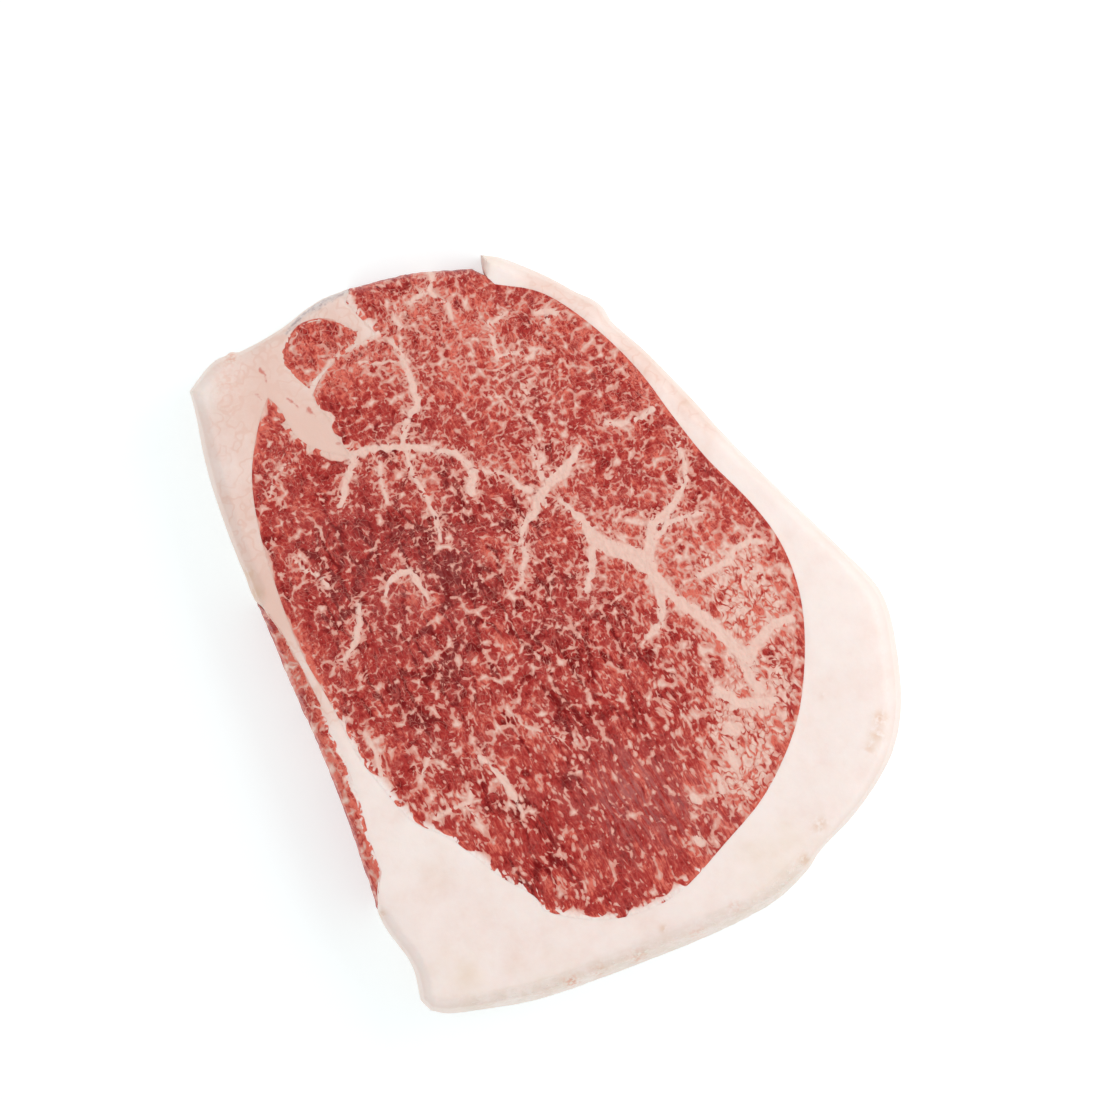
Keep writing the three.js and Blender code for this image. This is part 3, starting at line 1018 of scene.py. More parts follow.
class Skin:
    """Points and faces of a piece's skin as they are made, with two values kept for each point."""

    def __init__(self):
        self.points = np.zeros((0, 3))
        self.edge = np.zeros(0)
        self.beside = np.zeros(0)
        self.faces = []

    def add_points(self, points, edge, beside):
        """Adds points with their distance to the edge and how shared it is. Gives the first one's number."""
        first = len(self.points)
        self.points = np.vstack([self.points, points])
        self.edge = np.concatenate([self.edge, edge])
        self.beside = np.concatenate([self.beside, beside])
        return first

    def add_faces(self, faces):
        """Adds faces, each as the numbers of its points."""
        self.faces += [tuple(face) for face in faces]


def band_faces(count, upper, lower):
    """Quads between two rings of points, for a ring that runs anticlockwise seen from above."""
    here = np.arange(count)
    after = (here + 1) % count
    return np.stack([upper + here, lower + here, lower + after, upper + after], 1)


def add_wall(skin, wall, top, rim, foot, node):
    """Joins a rim to a foot with bands of quads. rim and foot are the numbers of their first points."""
    count = len(top)
    bands = WALL_BANDS[node]
    rim_height = skin.points[rim : rim + count, 2]
    foot_height = skin.points[foot : foot + count, 2]
    above = rim
    for band in range(1, bands):
        share = band / bands
        height = rim_height * (1 - share) + foot_height * share
        ring = wall_at(wall, height, np.maximum(top, height), GROWS[node])
        points = np.column_stack([ring, height])
        below = skin.add_points(points, np.zeros(count), wall["shared"])
        skin.add_faces(band_faces(count, above, below))
        above = below
    skin.add_faces(band_faces(count, above, foot))


print("bands of quads down the walls:", WALL_BANDS)

# %% Join the three parts of each skin
FOOT_SPACING = {"eye_muscle": 0.8, "corner_lobe": 0.7, "side_muscle": 0.7, "fat_cap": 0.85}


def skin_of(node):
    """The closed skin of one piece: the cut face, the underside and the walls between them."""
    grows = GROWS[node]
    underlap = UNDERLAP[node]
    tops = [face_height(wall["loop"] + wall["top"]) for wall in walls[node]]
    rims = [wall_at(wall, top, top, grows) for wall, top in zip(walls[node], tops)]
    feet = [wall_at(wall, np.zeros(len(top)), top, grows) for wall, top in zip(walls[node], tops)]
    shared = np.concatenate([wall["shared"] for wall in walls[node]])
    skin = Skin()
    places, nearest, distance, triangles = filled(rims, SPACING[node])
    points = face_points(places, distance, shared[nearest], underlap)
    rim = skin.add_points(points, distance, shared[nearest])
    skin.add_faces(triangles)
    places, nearest, distance, triangles = filled(feet, FOOT_SPACING[node])
    points = foot_points(places, distance, shared[nearest], underlap)
    foot = skin.add_points(points, distance, shared[nearest])
    skin.add_faces(triangles[:, ::-1] + foot)
    for wall, top in zip(walls[node], tops):
        add_wall(skin, wall, top, rim, foot, node)
        rim += len(top)
        foot += len(top)
    return skin


skins = {}
for node in NODES:
    skins[node] = skin_of(node)
    print(node, "has a skin of", len(skins[node].points), "points and", len(skins[node].faces), "faces")

# %% [markdown]
# ## Relief and stored values
#
# The smooth skin is pushed in and out along its own normals by the relief, in real geometry, so that the
# light catches the bundles from any side. A bump in the finish alone would leave the steak's outline smooth.
# The tears are worked out once, for the relief and for the colour, so that a hole is also painted dark, as
# shade.

# %% Make a mesh and read it back
WELD_TOGETHER = 0.02


def store(mesh, name, values):
    """Keeps a number or a vector for each vertex under a name."""
    kind, key = ("FLOAT_VECTOR", "vector") if values.ndim == 2 else ("FLOAT", "value")
    attribute = mesh.attributes.get(name) or mesh.attributes.new(name, kind, "POINT")
    attribute.data.foreach_set(key, values.astype(np.float32).ravel())


def mesh_of(name, points, faces, kept):
    """A mesh from points in millimetres, with its kept values, welded where points fall together."""
    mesh = bpy.data.meshes.new(name)
    mesh.from_pydata((points * MM).tolist(), [], faces)
    for key, values in kept.items():
        store(mesh, key, values)
    joined = bmesh.new()
    joined.from_mesh(mesh)
    bmesh.ops.remove_doubles(joined, verts=joined.verts, dist=WELD_TOGETHER * MM)
    bmesh.ops.dissolve_degenerate(joined, edges=joined.edges, dist=WELD_TOGETHER * MM)
    joined.to_mesh(mesh)
    joined.free()
    mesh.update()
    return mesh


def places_of(mesh):
    """The mesh's points in millimetres."""
    flat = np.zeros(len(mesh.vertices) * 3, np.float32)
    mesh.vertices.foreach_get("co", flat)
    return flat.reshape(-1, 3).astype(float) / MM


def kept_value(mesh, name):
    """A number that was kept for each vertex."""
    flat = np.zeros(len(mesh.vertices), np.float32)
    mesh.attributes[name].data.foreach_get("value", flat)
    return flat.astype(float)


def normals_of(mesh):
    """The mesh's vertex normals."""
    flat = np.zeros(len(mesh.vertices) * 3, np.float32)
    mesh.vertex_normals.foreach_get("vector", flat)
    return flat.reshape(-1, 3)


print("points closer together than", WELD_TOGETHER, "mm are welded")

# %% Work out how far the skin is pushed
WALL_RELIEF = 0.7
UNDERSIDE_RELIEF = -0.02
UNDERSIDE_BELOW = 0.25


def outer_distance(points):
    """Distance of each point, seen from above, to the steak's outer edge."""
    loops = [wall["loop"][wall["shared"] < 0.5] for node in NODES for wall in walls[node]]
    _, distance = nearest_border(tree_of(np.vstack(loops)), points[:, :2])
    return distance


def values_and_relief(node, points, to_other, to_outside):
    """The named values of a piece and the height of its relief in mm."""
    if node == "fat_cap":
        values = fat_values(points, to_other, to_outside)
        return values, fat_relief(points, values)
    values = lean_values(points, to_other)
    return values, lean_relief(points, values)


def held_back(relief, points, edge, beside):
    """Relief that is none on the hidden walls, less on the outer walls and almost none underneath."""
    hidden_wall = (edge == 0) & (beside > 0.5)
    outer_wall = (edge == 0) & (beside <= 0.5)
    relief = np.where(outer_wall, WALL_RELIEF * relief, relief)
    relief = np.where(points[:, 2] < UNDERSIDE_BELOW, UNDERSIDE_RELIEF, relief)
    return np.where(hidden_wall, 0, relief)


print("the outer walls keep", WALL_RELIEF, "of the relief")

# %% Turn each skin into a dressed piece
SHARP_FROM = math.radians(50)
NO_BORDER_NEAR = 3.0


def dressed_mesh(node):
    """The finished mesh of one piece, with its relief and its values."""
    skin = skins[node]
    mesh = mesh_of(node + "_skin", skin.points, skin.faces, {"edge": skin.edge, "beside": skin.beside})
    points = places_of(mesh)
    edge = kept_value(mesh, "edge")
    beside = kept_value(mesh, "beside")
    to_other = edge + (1 - beside) * NO_BORDER_NEAR
    values, relief = values_and_relief(node, points, to_other, outer_distance(points))
    relief = held_back(relief, points, edge, beside)
    pushed = points + normals_of(mesh) * relief[:, None]
    within = np.clip(pushed * MM, cad_box[0], cad_box[1])
    mesh.vertices.foreach_set("co", within.ravel())
    for name, value in values.items():
        store(mesh, name, value)
    store(mesh, "pink", pinkness(points))
    return mesh


def dress(node):
    """One finished piece, ridden on the body and standing for its solid."""
    mesh = dressed_mesh(node)
    mesh.shade_smooth()
    mesh.set_sharp_from_angle(angle=SHARP_FROM)
    mesh.update()
    piece = bpy.data.objects.new(node + "_flesh", mesh)
    bpy.context.scene.collection.objects.link(piece)
    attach(piece, "root")
    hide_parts(node)
    return piece


pieces = {node: dress(node) for node in NODES}
for node, piece in pieces.items():
    print(piece.name, "has", len(piece.data.polygons), "faces")

# %% [markdown]
# ## Sums with nodes
#
# A material is a tree of nodes, and long sums with nodes are hard to read when each link is a line of its
# own. A small class lets a node's output be added and multiplied as a number is. Only the writing is
# shorter: the nodes in the file are the ordinary ones. The textures take their sizes in millimetres.

# %% Let node outputs be added and multiplied
class Field:
    """A node's output that takes part in sums."""

    def __init__(self, tree, socket):
        self.tree = tree
        self.socket = socket

    def __add__(self, other):
        return math_node(self.tree, "ADD", self, other)

    def __sub__(self, other):
        return math_node(self.tree, "SUBTRACT", self, other)

    def __rsub__(self, other):
        return math_node(self.tree, "SUBTRACT", other, self)

    def __mul__(self, other):
        return math_node(self.tree, "MULTIPLY", self, other)

    __radd__ = __add__


def feed(tree, socket, value):
    """Links an output to an input, or sets the input to a plain value."""
    if isinstance(value, Field):
        tree.links.new(value.socket, socket)
    else:
        socket.default_value = value


def math_node(tree, operation, *values):
    """A math node's output."""
    node = tree.nodes.new("ShaderNodeMath")
    node.operation = operation
    for place, value in enumerate(values):
        feed(tree, node.inputs[place], value)
    return Field(tree, node.outputs[0])


def larger(a, b):
    """The larger of two outputs."""
    return math_node(a.tree, "MAXIMUM", a, b)


def smaller(a, b):
    """The smaller of two outputs, or of an output and a number."""
    return math_node(a.tree, "MINIMUM", a, b)


def slope(value, low, high, start=0.0, end=1.0):
    """A soft slope from start to end while value goes from low to high."""
    node = value.tree.nodes.new("ShaderNodeMapRange")
    node.interpolation_type = "SMOOTHSTEP"
    sockets = ("Value", "From Min", "From Max", "To Min", "To Max")
    for name, given in zip(sockets, (value, low, high, start, end)):
        feed(value.tree, node.inputs[name], given)
    return Field(value.tree, node.outputs["Result"])


print("node outputs can now be added, subtracted and multiplied")

# %% Textures in millimetres
def stored(tree, name, vector=False):
    """A value that was kept on the mesh."""
    node = tree.nodes.new("ShaderNodeAttribute")
    node.attribute_name = name
    return Field(tree, node.outputs["Vector" if vector else "Fac"])


def place_in_mm(tree):
    """The place on the piece in millimetres."""
    coordinates = tree.nodes.new("ShaderNodeTexCoord")
    scale = tree.nodes.new("ShaderNodeVectorMath")
    scale.operation = "SCALE"
    scale.inputs["Scale"].default_value = 1 / MM
    tree.links.new(coordinates.outputs["Object"], scale.inputs[0])
    return Field(tree, scale.outputs[0])


def stretched(place, factors, shift=(0, 0, 0)):
    """A place with each coordinate multiplied and moved."""
    node = place.tree.nodes.new("ShaderNodeVectorMath")
    node.operation = "MULTIPLY_ADD"
    feed(place.tree, node.inputs[0], place)
    node.inputs[1].default_value = factors
    node.inputs[2].default_value = shift
    return Field(place.tree, node.outputs[0])


def grain(place, size, detail=2.0, roughness=0.5):
    """Soft noise with bumps of a size in mm, about 0.5 on average."""
    node = place.tree.nodes.new("ShaderNodeTexNoise")
    feed(place.tree, node.inputs["Vector"], place)
    node.inputs["Scale"].default_value = 1 / size
    node.inputs["Detail"].default_value = detail
    node.inputs["Roughness"].default_value = roughness
    return Field(place.tree, node.outputs["Fac"])


def wiggled(place, size, amount):
    """A place pushed about by soft noise, so that straight borders turn wavy."""
    node = place.tree.nodes.new("ShaderNodeTexNoise")
    feed(place.tree, node.inputs["Vector"], place)
    node.inputs["Scale"].default_value = 1 / size
    node.inputs["Detail"].default_value = 1.0
    push = place.tree.nodes.new("ShaderNodeVectorMath")
    push.operation = "MULTIPLY_ADD"
    place.tree.links.new(node.outputs["Color"], push.inputs[0])
    push.inputs[1].default_value = (amount, amount, 0)
    feed(place.tree, push.inputs[2], stretched(place, (1, 1, 1), (-amount / 2, -amount / 2, 0)))
    return Field(place.tree, push.outputs[0])


print("a noise of 2 mm has a scale of", 1 / 2, "as places are in mm")

# %% Bundles, borders and lines
def bundles(place, size):
    """Distance in mm from the middle of the nearest bundle of a size, and a random number of its own."""
    node = place.tree.nodes.new("ShaderNodeTexVoronoi")
    node.voronoi_dimensions = "2D"
    feed(place.tree, node.inputs["Vector"], place)
    node.inputs["Scale"].default_value = 1 / size
    split = place.tree.nodes.new("ShaderNodeSeparateColor")
    place.tree.links.new(node.outputs["Color"], split.inputs[0])
    return Field(place.tree, node.outputs["Distance"]) * size, Field(place.tree, split.outputs[0])


def borders(place, size):
    """Distance in mm to the border of the bundle of a size."""
    node = place.tree.nodes.new("ShaderNodeTexVoronoi")
    node.voronoi_dimensions = "2D"
    node.feature = "DISTANCE_TO_EDGE"
    feed(place.tree, node.inputs["Vector"], place)
    node.inputs["Scale"].default_value = 1 / size
    return Field(place.tree, node.outputs["Distance"]) * size


def flecks(place, size, least, most):
    """Depth in mm inside round flecks, one for each bundle, with random reach. Below zero there is none."""
    distance, lot = bundles(place, size)
    return lot * (most - least) + least - distance


def moved(place, x, y):
    """A place moved to another part of the same texture."""
    return stretched(place, (1, 1, 1), (x, y, 0))


def lines(place, size, sharpness):
    """0 on the curved lines that soft noise draws, rising away from them."""
    return math_node(place.tree, "ABSOLUTE", grain(place, size, 1.0) - 0.5) * sharpness


print("bundles and borders are flat patterns, so on the walls they run down as streaks")

# %% Colours and how they blend
def colour(red, green, blue):
    """A colour given as it looks on a screen, from 0 to 255, as Blender keeps it."""
    shares = [value / 255 for value in (red, green, blue)]
    return (*[s / 12.92 if s <= 0.04045 else ((s + 0.055) / 1.055) ** 2.4 for s in shares], 1.0)


# A mix node has sockets for each kind of data. These are the ones for colours.
MIX_FACTOR = 0
MIX_FIRST = 6
MIX_SECOND = 7
MIX_RESULT = 2


def blended(factor, first, second):
    """A colour between two others, each an output or a plain colour."""
    node = factor.tree.nodes.new("ShaderNodeMix")
    node.data_type = "RGBA"
    feed(factor.tree, node.inputs[MIX_FACTOR], factor)
    feed(factor.tree, node.inputs[MIX_FIRST], first)
    feed(factor.tree, node.inputs[MIX_SECOND], second)
    return Field(factor.tree, node.outputs[MIX_RESULT])


print("a half grey on a screen is", round(colour(128, 128, 128)[0], 2), "in Blender's numbers")

# %% [markdown]
# ## The plain colour of the fat
#
# The cap and the thick fat between the muscles are one tissue, so they have to match in colour where they
# meet. The plain colour is worked out first, for both of them, from the stored pinkness and some clouds.

# %% Mix white and pink
FAT_WHITE = colour(248, 234, 228)
FAT_PINK = colour(233, 198, 184)


def clouds(place):
    """Broad soft noise to both sides of zero."""
    return grain(place, 5.0, 3.0, 0.6) - 0.5


def small_clouds(place):
    """Smaller soft noise to both sides of zero."""
    return grain(moved(place, 3, 7), 1.9, 3.0, 0.65) - 0.5


def plain_fat(tree, place):
    """White fat that is pinker in some zones and softly clouded."""
    strands = lines(wiggled(moved(place, 4, 9), 3.0, 1.5), 2.6, 9.0)
    pink = stored(tree, "pink") + clouds(place) * 0.5 + small_clouds(place) * 0.35
    pink = pink + slope(strands, 0.0, 0.6, 0.5, 0.0) * slope(pink, 0.25, 0.8)
    return blended(slope(pink, -0.2, 1.1), FAT_WHITE, FAT_PINK)


print("white fat in Blender's numbers:", [round(value, 2) for value in FAT_WHITE[:3]])

# %% [markdown]
# ## The marbled lean
#
# Fat lies between bundles of fibres, so each fleck is a small star: thick where bundles meet and thinning
# out along their borders. One noise texture with a hard edge would give round blots. So several patterns are
# made, each as a depth in mm that is above zero inside its fat: flecks, veins, strokes and small grains. The
# deepest of them counts, and the stored richness makes all of them grow. Where the meat is richest it turns
# round: the lean is thin red curls in the fat.

# %% Patterns of fat
FINER = 1.2
BUNDLE_WIDTH = 2.3
SMALL_BUNDLE_WIDTH = 1.6
LOBULE_WIDTH = 1.2
GRAINLET_WIDTH = 0.7


def lean_place(tree):
    """The place as the bundles lie, made wavy in two sizes."""
    wavy = wiggled(wiggled(stored(tree, "laid", vector=True), 1.6, 0.7), 0.7, 0.22)
    return stretched(wavy, (FINER, FINER, 1))


def swing(at, size, amount):
    """Soft noise to both sides of zero, in mm."""
    return (grain(at, size, 1.0) - 0.5) * amount


def patches(at, bundle):
    """Depth in mm inside the angular flecks, where bundles of two sizes leave room."""
    large = (bundle - 1.3) * 0.8 + swing(moved(at, 3, 8), 3.2, 1.9)
    small_bundle, _ = bundles(moved(at, 9, 21), SMALL_BUNDLE_WIDTH)
    small = (small_bundle - 0.95) * 1.1 + swing(moved(at, 2, 2), 2.4, 1.9) - 0.05
    return larger(large, small)


def strokes(at):
    """Depth in mm inside short curved strokes of fat, tapered at both ends."""
    return swing(at, 1.9, 3.0) - 0.2 - lines(moved(at, 5, 9), 2.6, 3.0)


def veins(at, size):
    """Depth in mm inside thin veins of fat that run between bundles of a size and taper out."""
    width = swing(moved(at, 21, 14), 2.2, 1.5) + 0.02
    return smaller(width, 0.3) - borders(at, size)


def rice(at):
    """Depth in mm inside small drawn-out grains of fat."""
    return flecks(stretched(at, (1.25, 0.75, 1), (14, 3, 0)), 1.7, -0.75, 0.5)


def fine_rice(at):
    """Depth in mm inside still smaller grains, close together in some places and far apart in others."""
    crowded = swing(moved(at, 16, 4), 2.6, 1.7)
    return flecks(stretched(at, (1.1, 0.85, 1), (2, 9, 0)), 1.35, -0.55, 0.5) + crowded


print("bundles between the flecks:", round(BUNDLE_WIDTH / FINER, 1), "mm wide")

# %% All the marbling together
RICHNESS_ADDS = 0.55
FLECKS_START = 0.21
VERY_RICH = (0.52, 0.6)


def marbling(at, bundle):
    """Depth in mm inside flecks, veins and grains. Where the grain shows, grains take the veins' place."""
    grained = stored(at.tree, "grained")
    near_seam = slope(stored(at.tree, "seam"), -2.6, -0.3, 0.0, 0.15)
    rich = stored(at.tree, "rich") + near_seam
    thin = larger(veins(at, BUNDLE_WIDTH) + 0.07, strokes(at) - 0.12) - grained * 0.28
    thick = patches(at, bundle) - grained * 0.08
    grains = larger(rice(at) + grained * 0.06, fine_rice(at) + grained * 0.5 - 0.15) - 0.1
    return larger(thick, larger(thin, grains)) + rich * RICHNESS_ADDS - FLECKS_START


def red_curls(at):
    """Depth in mm outside thin broken curls of red, for the meat that is almost all fat."""
    curls = smaller(lines(moved(at, 7, 3), 2.0, 3.0), lines(moved(at, 19, 5), 2.4, 3.0)) - 0.09
    curls = curls * 4.0 + (grain(moved(at, 5, 5), 1.4, 1.0) - 0.42) * 2.6
    clumps = flecks(moved(at, 3, 11), 3.2, -1.6, 1.2)
    return smaller(smaller(curls, 0.1 - clumps), 0.6)


def red_rim(at, very_rich):
    """How much the fat draws back from the border with the cap, in mm."""
    edge = stored(at.tree, "edge")
    here_and_there = slope(grain(moved(at, 11, 5), 3.6, 1.0), 0.4, 0.58, 0.2, 1.0)
    smooth_border = slope(stored(at.tree, "ragged"), 0.1, 0.5, 1.0, 0.0)
    thin_rim = slope(edge, 0.1, 0.8, 0.3, 0.0) * smooth_border * here_and_there
    return thin_rim + slope(edge, 0.5, 2.6, 0.4, 0.0) * very_rich * slope(edge, 0.0, 0.4)


def fat_inside(at, bundle):
    """Depth in mm in fat, from the marbling and, where the meat is richest, from the curls."""
    very_rich = slope(stored(at.tree, "rich") + swing(moved(at, 6, 6), 3.0, 0.6), *VERY_RICH)
    spots = marbling(at, bundle)
    return spots + (red_curls(at) - spots) * very_rich - red_rim(at, very_rich)


print("flecks grow by", RICHNESS_ADDS, "mm where the meat is rich")

# %% Seams and ragged borders
BRANCH_WIDTH = 3.1
SPUR_WIDTH = 2.7
SCALLOP_WIDTH = 4.6


def spurs(at, seam):
    """Depth in mm inside the short side branches of a seam, between small bundles."""
    broken = slope(grain(moved(at, 8, 8), 2.0, 1.0), 0.38, 0.55, -0.5, 0.0)
    reach = smaller(seam * 0.3 + 0.5, 0.36) + broken
    return reach - borders(moved(at, 4, 16), SPUR_WIDTH) - stored(at.tree, "grained") * 0.4


def seams_of_fat(at, bundle):
    """Depth in mm inside the laid seams, with uneven borders and side branches."""
    seam = stored(at.tree, "seam")
    uneven = (bundle - 1.15) * 0.6 + swing(moved(at, 1, 6), 3.0, 1.0)
    branches = veins(at, BRANCH_WIDTH) + slope(seam, -4.0, -0.5, -0.3, 0.15)
    return larger(seam * 1.15 + 0.04 + uneven, larger(branches, spurs(at, seam)))


def scallops(at):
    """Depth in mm inside the round bays of fat along a ragged border with the cap."""
    knob, _ = bundles(moved(at, 17, 2), SCALLOP_WIDTH)
    reach = stored(at.tree, "ragged") * (0.6 + (knob - 1.7) * 1.1)
    return smaller(reach - stored(at.tree, "edge") * 1.1 - 0.15, 0.6)


def notches(at, lobule, grainlet):
    """Small teeth along all borders of fat, in mm, and smaller ones along the seams and the cap."""
    on_seam = slope(stored(at.tree, "seam"), -0.6, 0.2)
    by_cap = slope(stored(at.tree, "edge"), 0.4, 1.4, 1.0, 0.0)
    teeth = (lobule - 0.5) * 0.4 + (grainlet - 0.3) * 0.4
    return teeth * (1.0 - larger(on_seam, by_cap) * 0.6)


def fat_level(tree):
    """How deep each place lies in fat, in mm, with the distances to the middles of two sizes of bundle."""
    at = lean_place(tree)
    bundle, _ = bundles(at, BUNDLE_WIDTH)
    lobule, _ = bundles(moved(at, 7, 3), LOBULE_WIDTH)
    grainlet, _ = bundles(moved(at, 31, 17), GRAINLET_WIDTH)
    teeth = notches(at, lobule, grainlet)
    level = larger(fat_inside(at, bundle), seams_of_fat(at, bundle)) + teeth
    return larger(level, scallops(at) + teeth * 0.4), lobule, grainlet


print("side branches of seams run between bundles of", round(BRANCH_WIDTH / FINER, 1), "mm")

# %% [markdown]
# ## The colour of the lean
#
# Fresh lean is bright red where air has reached it, and paler by the fat, which shines through thin flesh.
# The maroon in the clefts and folds between its bundles is painted shade. One red with noise over it would
# look like paint. So a tone is added up from the zones, soft noise of several sizes and painted shade on
# folds, clefts and the borders of small bundles, and it runs through three reds. A painted greyish sheen in
# the dull patch at the foot, the pale borders of small bundles, partly painted highlights, and the torn
# holes, painted dark as shade, are laid over them.

# %% Folds, clefts and holes
# The darkest red is the flesh's own, and it also takes the painted shade of clefts, folds and bundle borders.
LEAN_DARK = colour(122, 8, 10)
LEAN_RED = colour(172, 49, 44)
LEAN_BRIGHT = colour(221, 110, 92)
LEAN_PINK = colour(224, 150, 134)
LEAN_PAINTED_SHEEN = colour(174, 108, 105)
LEAN_PIT_SHADE = colour(96, 10, 18)
FLECK_FAT = colour(219, 152, 137)
SEAM_FAT = colour(237, 200, 186)


def crevice(at):
    """1 in the long clefts that run down between the bundles, which the colour darkens as painted shade."""
    upright = stretched(wiggled(at, 2.0, 0.9), (1, 0.4, 1), (3, 8, 0))
    seen = slope(grain(moved(upright, 8, 2), 3.6, 1.0), 0.44, 0.54)
    return slope(borders(upright, 3.4), 0.03, 0.5, 1.0, 0.0) * seen


def shade_and_highlight_lines(at, size):
    """1 on thin curved lines that break off here and there: painted shade as dark folds, and painted
    highlight as pale lines.
    """
    seen = slope(grain(moved(at, 3, 1), 1.9, 1.0), 0.43, 0.51)
    return slope(lines(at, size, 1.0), 0.0, 0.045, 1.0, 0.0) * seen


def pit_shade(at):
    """1 in small deep holes between torn bundles, painted dark as shade."""
    return slope(flecks(stretched(at, (1, 0.5, 1), (4, 1, 0)), 1.9, -1.1, 0.45), -0.06, 0.1)


def pale_borders_and_highlights(at):
    """1 on thin broken pale lines between small bundles: partly their pale borders, partly painted highlight
    on their lit side.
    """
    seen = slope(grain(moved(at, 4, 4), 2.0, 1.0), 0.4, 0.55)
    return slope(borders(at, 1.4), 0.0, 0.12, 1.0, 0.0) * seen


print("the middle red in Blender's numbers:", [round(value, 2) for value in LEAN_RED[:3]])

# %% Tone and colour
MIDDLE_TONE = 0.43
TORN_SHOWS = (0.1, 0.7)


def fine_mottle(at):
    """Small light and dark marks to both sides of zero, drawn out where the grain shows."""
    mottle = grain(stretched(at, (1, 0.6, 1)), 0.7, 2.0, 0.6) - 0.5
    fibre = grain(stretched(at, (1.5, 0.3, 1)), 0.5, 2.0, 0.6) - 0.5
    return mottle + (fibre - mottle) * (stored(at.tree, "grained") * 0.3 + 0.5)


def lean_tone(at, level, lobule):
    """How light the flesh is, with painted shade in its clefts and folds and on the borders of small bundles:
    0 is the darkest crevice and 1 the brightest fibre.
    """
    zone = stored(at.tree, "tone")
    edge = stored(at.tree, "edge")
    shady = slope(zone, -0.3, 0.35, 1.0, 0.15)
    broad = grain(stretched(at, (1, 0.6, 1)), 6.0, 1.0) - 0.5
    soft = grain(at, 2.6, 3.0, 0.6) - 0.5
    tone = zone * 0.25 + slope(level, -0.5, 0.0) * 0.2 + broad * (shady * 1.3 + 0.4) + soft * 1.2
    # Painted shading: each small bundle is lighter in its middle and darker at its border, as a rounded bump
    # lit from above.
    painted_lobule_shading = slope(lobule, 0.1, 0.7, 0.07, -0.1)
    rim = slope(edge, 0.2, 1.4, 0.22, 0.0) - slope(edge, 0.0, 0.3, 0.08, 0.0)
    tone = tone + fine_mottle(at) * 1.5 + painted_lobule_shading + rim + MIDDLE_TONE
    # Painted shade: dark folds along the shaded side of the small bundles.
    fold_shade = larger(shade_and_highlight_lines(moved(at, 6, 2), 1.2), shade_and_highlight_lines(moved(at, 23, 8), 0.9))
    torn = slope(stored(at.tree, "torn"), *TORN_SHOWS)
    # Painted shade: the clefts and the folds are darkened.
    return tone - crevice(at) * (shady * 0.7 + 0.08) - fold_shade * (torn * 0.35 + 0.16)


def flesh_colour(at, level, lobule):
    """The reds of the flesh by their tone, with its pale borders and painted highlights, a painted sheen in
    the dull patches, and the torn holes painted dark as shade.
    """
    tone = lean_tone(at, level, lobule)
    torn = slope(stored(at.tree, "torn"), *TORN_SHOWS)
    red = blended(slope(tone, -0.05, 0.5), LEAN_DARK, LEAN_RED)
    red = blended(slope(tone, 0.5, 1.05), red, LEAN_BRIGHT)
    haze = slope(level, -0.55, -0.05) * slope(grain(at, 1.3, 1.0), 0.4, 0.6)
    bent = wiggled(at, 1.0, 0.5)
    # Partly painted highlight: pale lines on the lit side of small bundles, besides their own pale borders.
    pale = larger(pale_borders_and_highlights(bent), shade_and_highlight_lines(moved(at, 12, 31), 1.3))
    pale_lines_and_highlights = pale * (0.32 + torn * 0.25 - stored(at.tree, "grained") * 0.18)
    red = blended(larger(haze * 0.15, pale_lines_and_highlights), red, LEAN_PINK)
    # Painted sheen: greyish streaks where the wet flesh reflects light, in the dull patches.
    streaky = slope(grain(stretched(at, (1.3, 0.25, 1)), 0.8, 3.0, 0.6), 0.35, 0.7)
    dull = smaller(stored(at.tree, "dull") * streaky, 1.0)
    red = blended(dull * 0.65, red, LEAN_PAINTED_SHEEN)
    # Painted shade: the torn holes and the small pits are darkened.
    return blended(larger(stored(at.tree, "tear") * 0.5, pit_shade(bent) * torn * 0.85), red, LEAN_PIT_SHADE)


def marbling_colour(at, level):
    """Fat that is pinker in thin flecks, whiter in seams, and the cap's own where it joins the cap."""
    place = place_in_mm(at.tree)
    thick = larger(slope(level, 0.1, 0.8), slope(stored(at.tree, "seam"), -0.5, 0.4))
    fat = blended(thick, FLECK_FAT, SEAM_FAT)
    by_cap = slope(stored(at.tree, "edge"), 0.3, 2.0, 1.0, 0.0)
    joining = by_cap * slope(stored(at.tree, "ragged"), 0.1, 0.6)
    fat = blended(joining, fat, plain_fat(at.tree, place))
    return blended(slope(grain(place, 1.1, 3.0, 0.6), 0.42, 0.75) * 0.22, fat, LEAN_PINK)


def lean_colour(tree, level, lobule):
    """Flesh, and fat where the level is above zero. The thinnest fat is faint here and there."""
    at = stored(tree, "laid", vector=True)
    faint = slope(grain(moved(at, 2, 5), 2.2, 1.0), 0.45, 0.65) * slope(level, 0.1, 0.35, 0.4, 0.0)
    is_fat = slope(level, -0.06, 0.09) * (1.0 - faint)
    return blended(is_fat, flesh_colour(at, level, lobule), marbling_colour(at, level))


print("tone runs to both sides of", MIDDLE_TONE)

# %% [markdown]
# ## The finish of the lean
#
# Cut meat is wet, but its bundles break each light into many small glints. A mirror coat all over would look
# like glass. So the coat lies in patches only, and under it a bump with the height of the small bundles
# scatters what the flesh reflects. A little light goes into the flesh and comes out red about a millimetre
# away.

# %% Make the lean's material
LEAN_SHEEN = {"Specular IOR Level": 0.17, "IOR": 1.38, "Coat Roughness": 0.12, "Subsurface Scale": 0.0012}
LEAN_GLOW = {"Subsurface Weight": 0.12, "Subsurface Radius": (1.0, 0.35, 0.25)}
LEAN_BUMP = 0.6
WET_PATCH = 4.0


def new_material(name):
    """A bare material with its tree and its main shader."""
    material = bpy.data.materials.new(name)
    material.use_nodes = True
    shader = material.node_tree.nodes["Principled BSDF"]
    return material, material.node_tree, shader


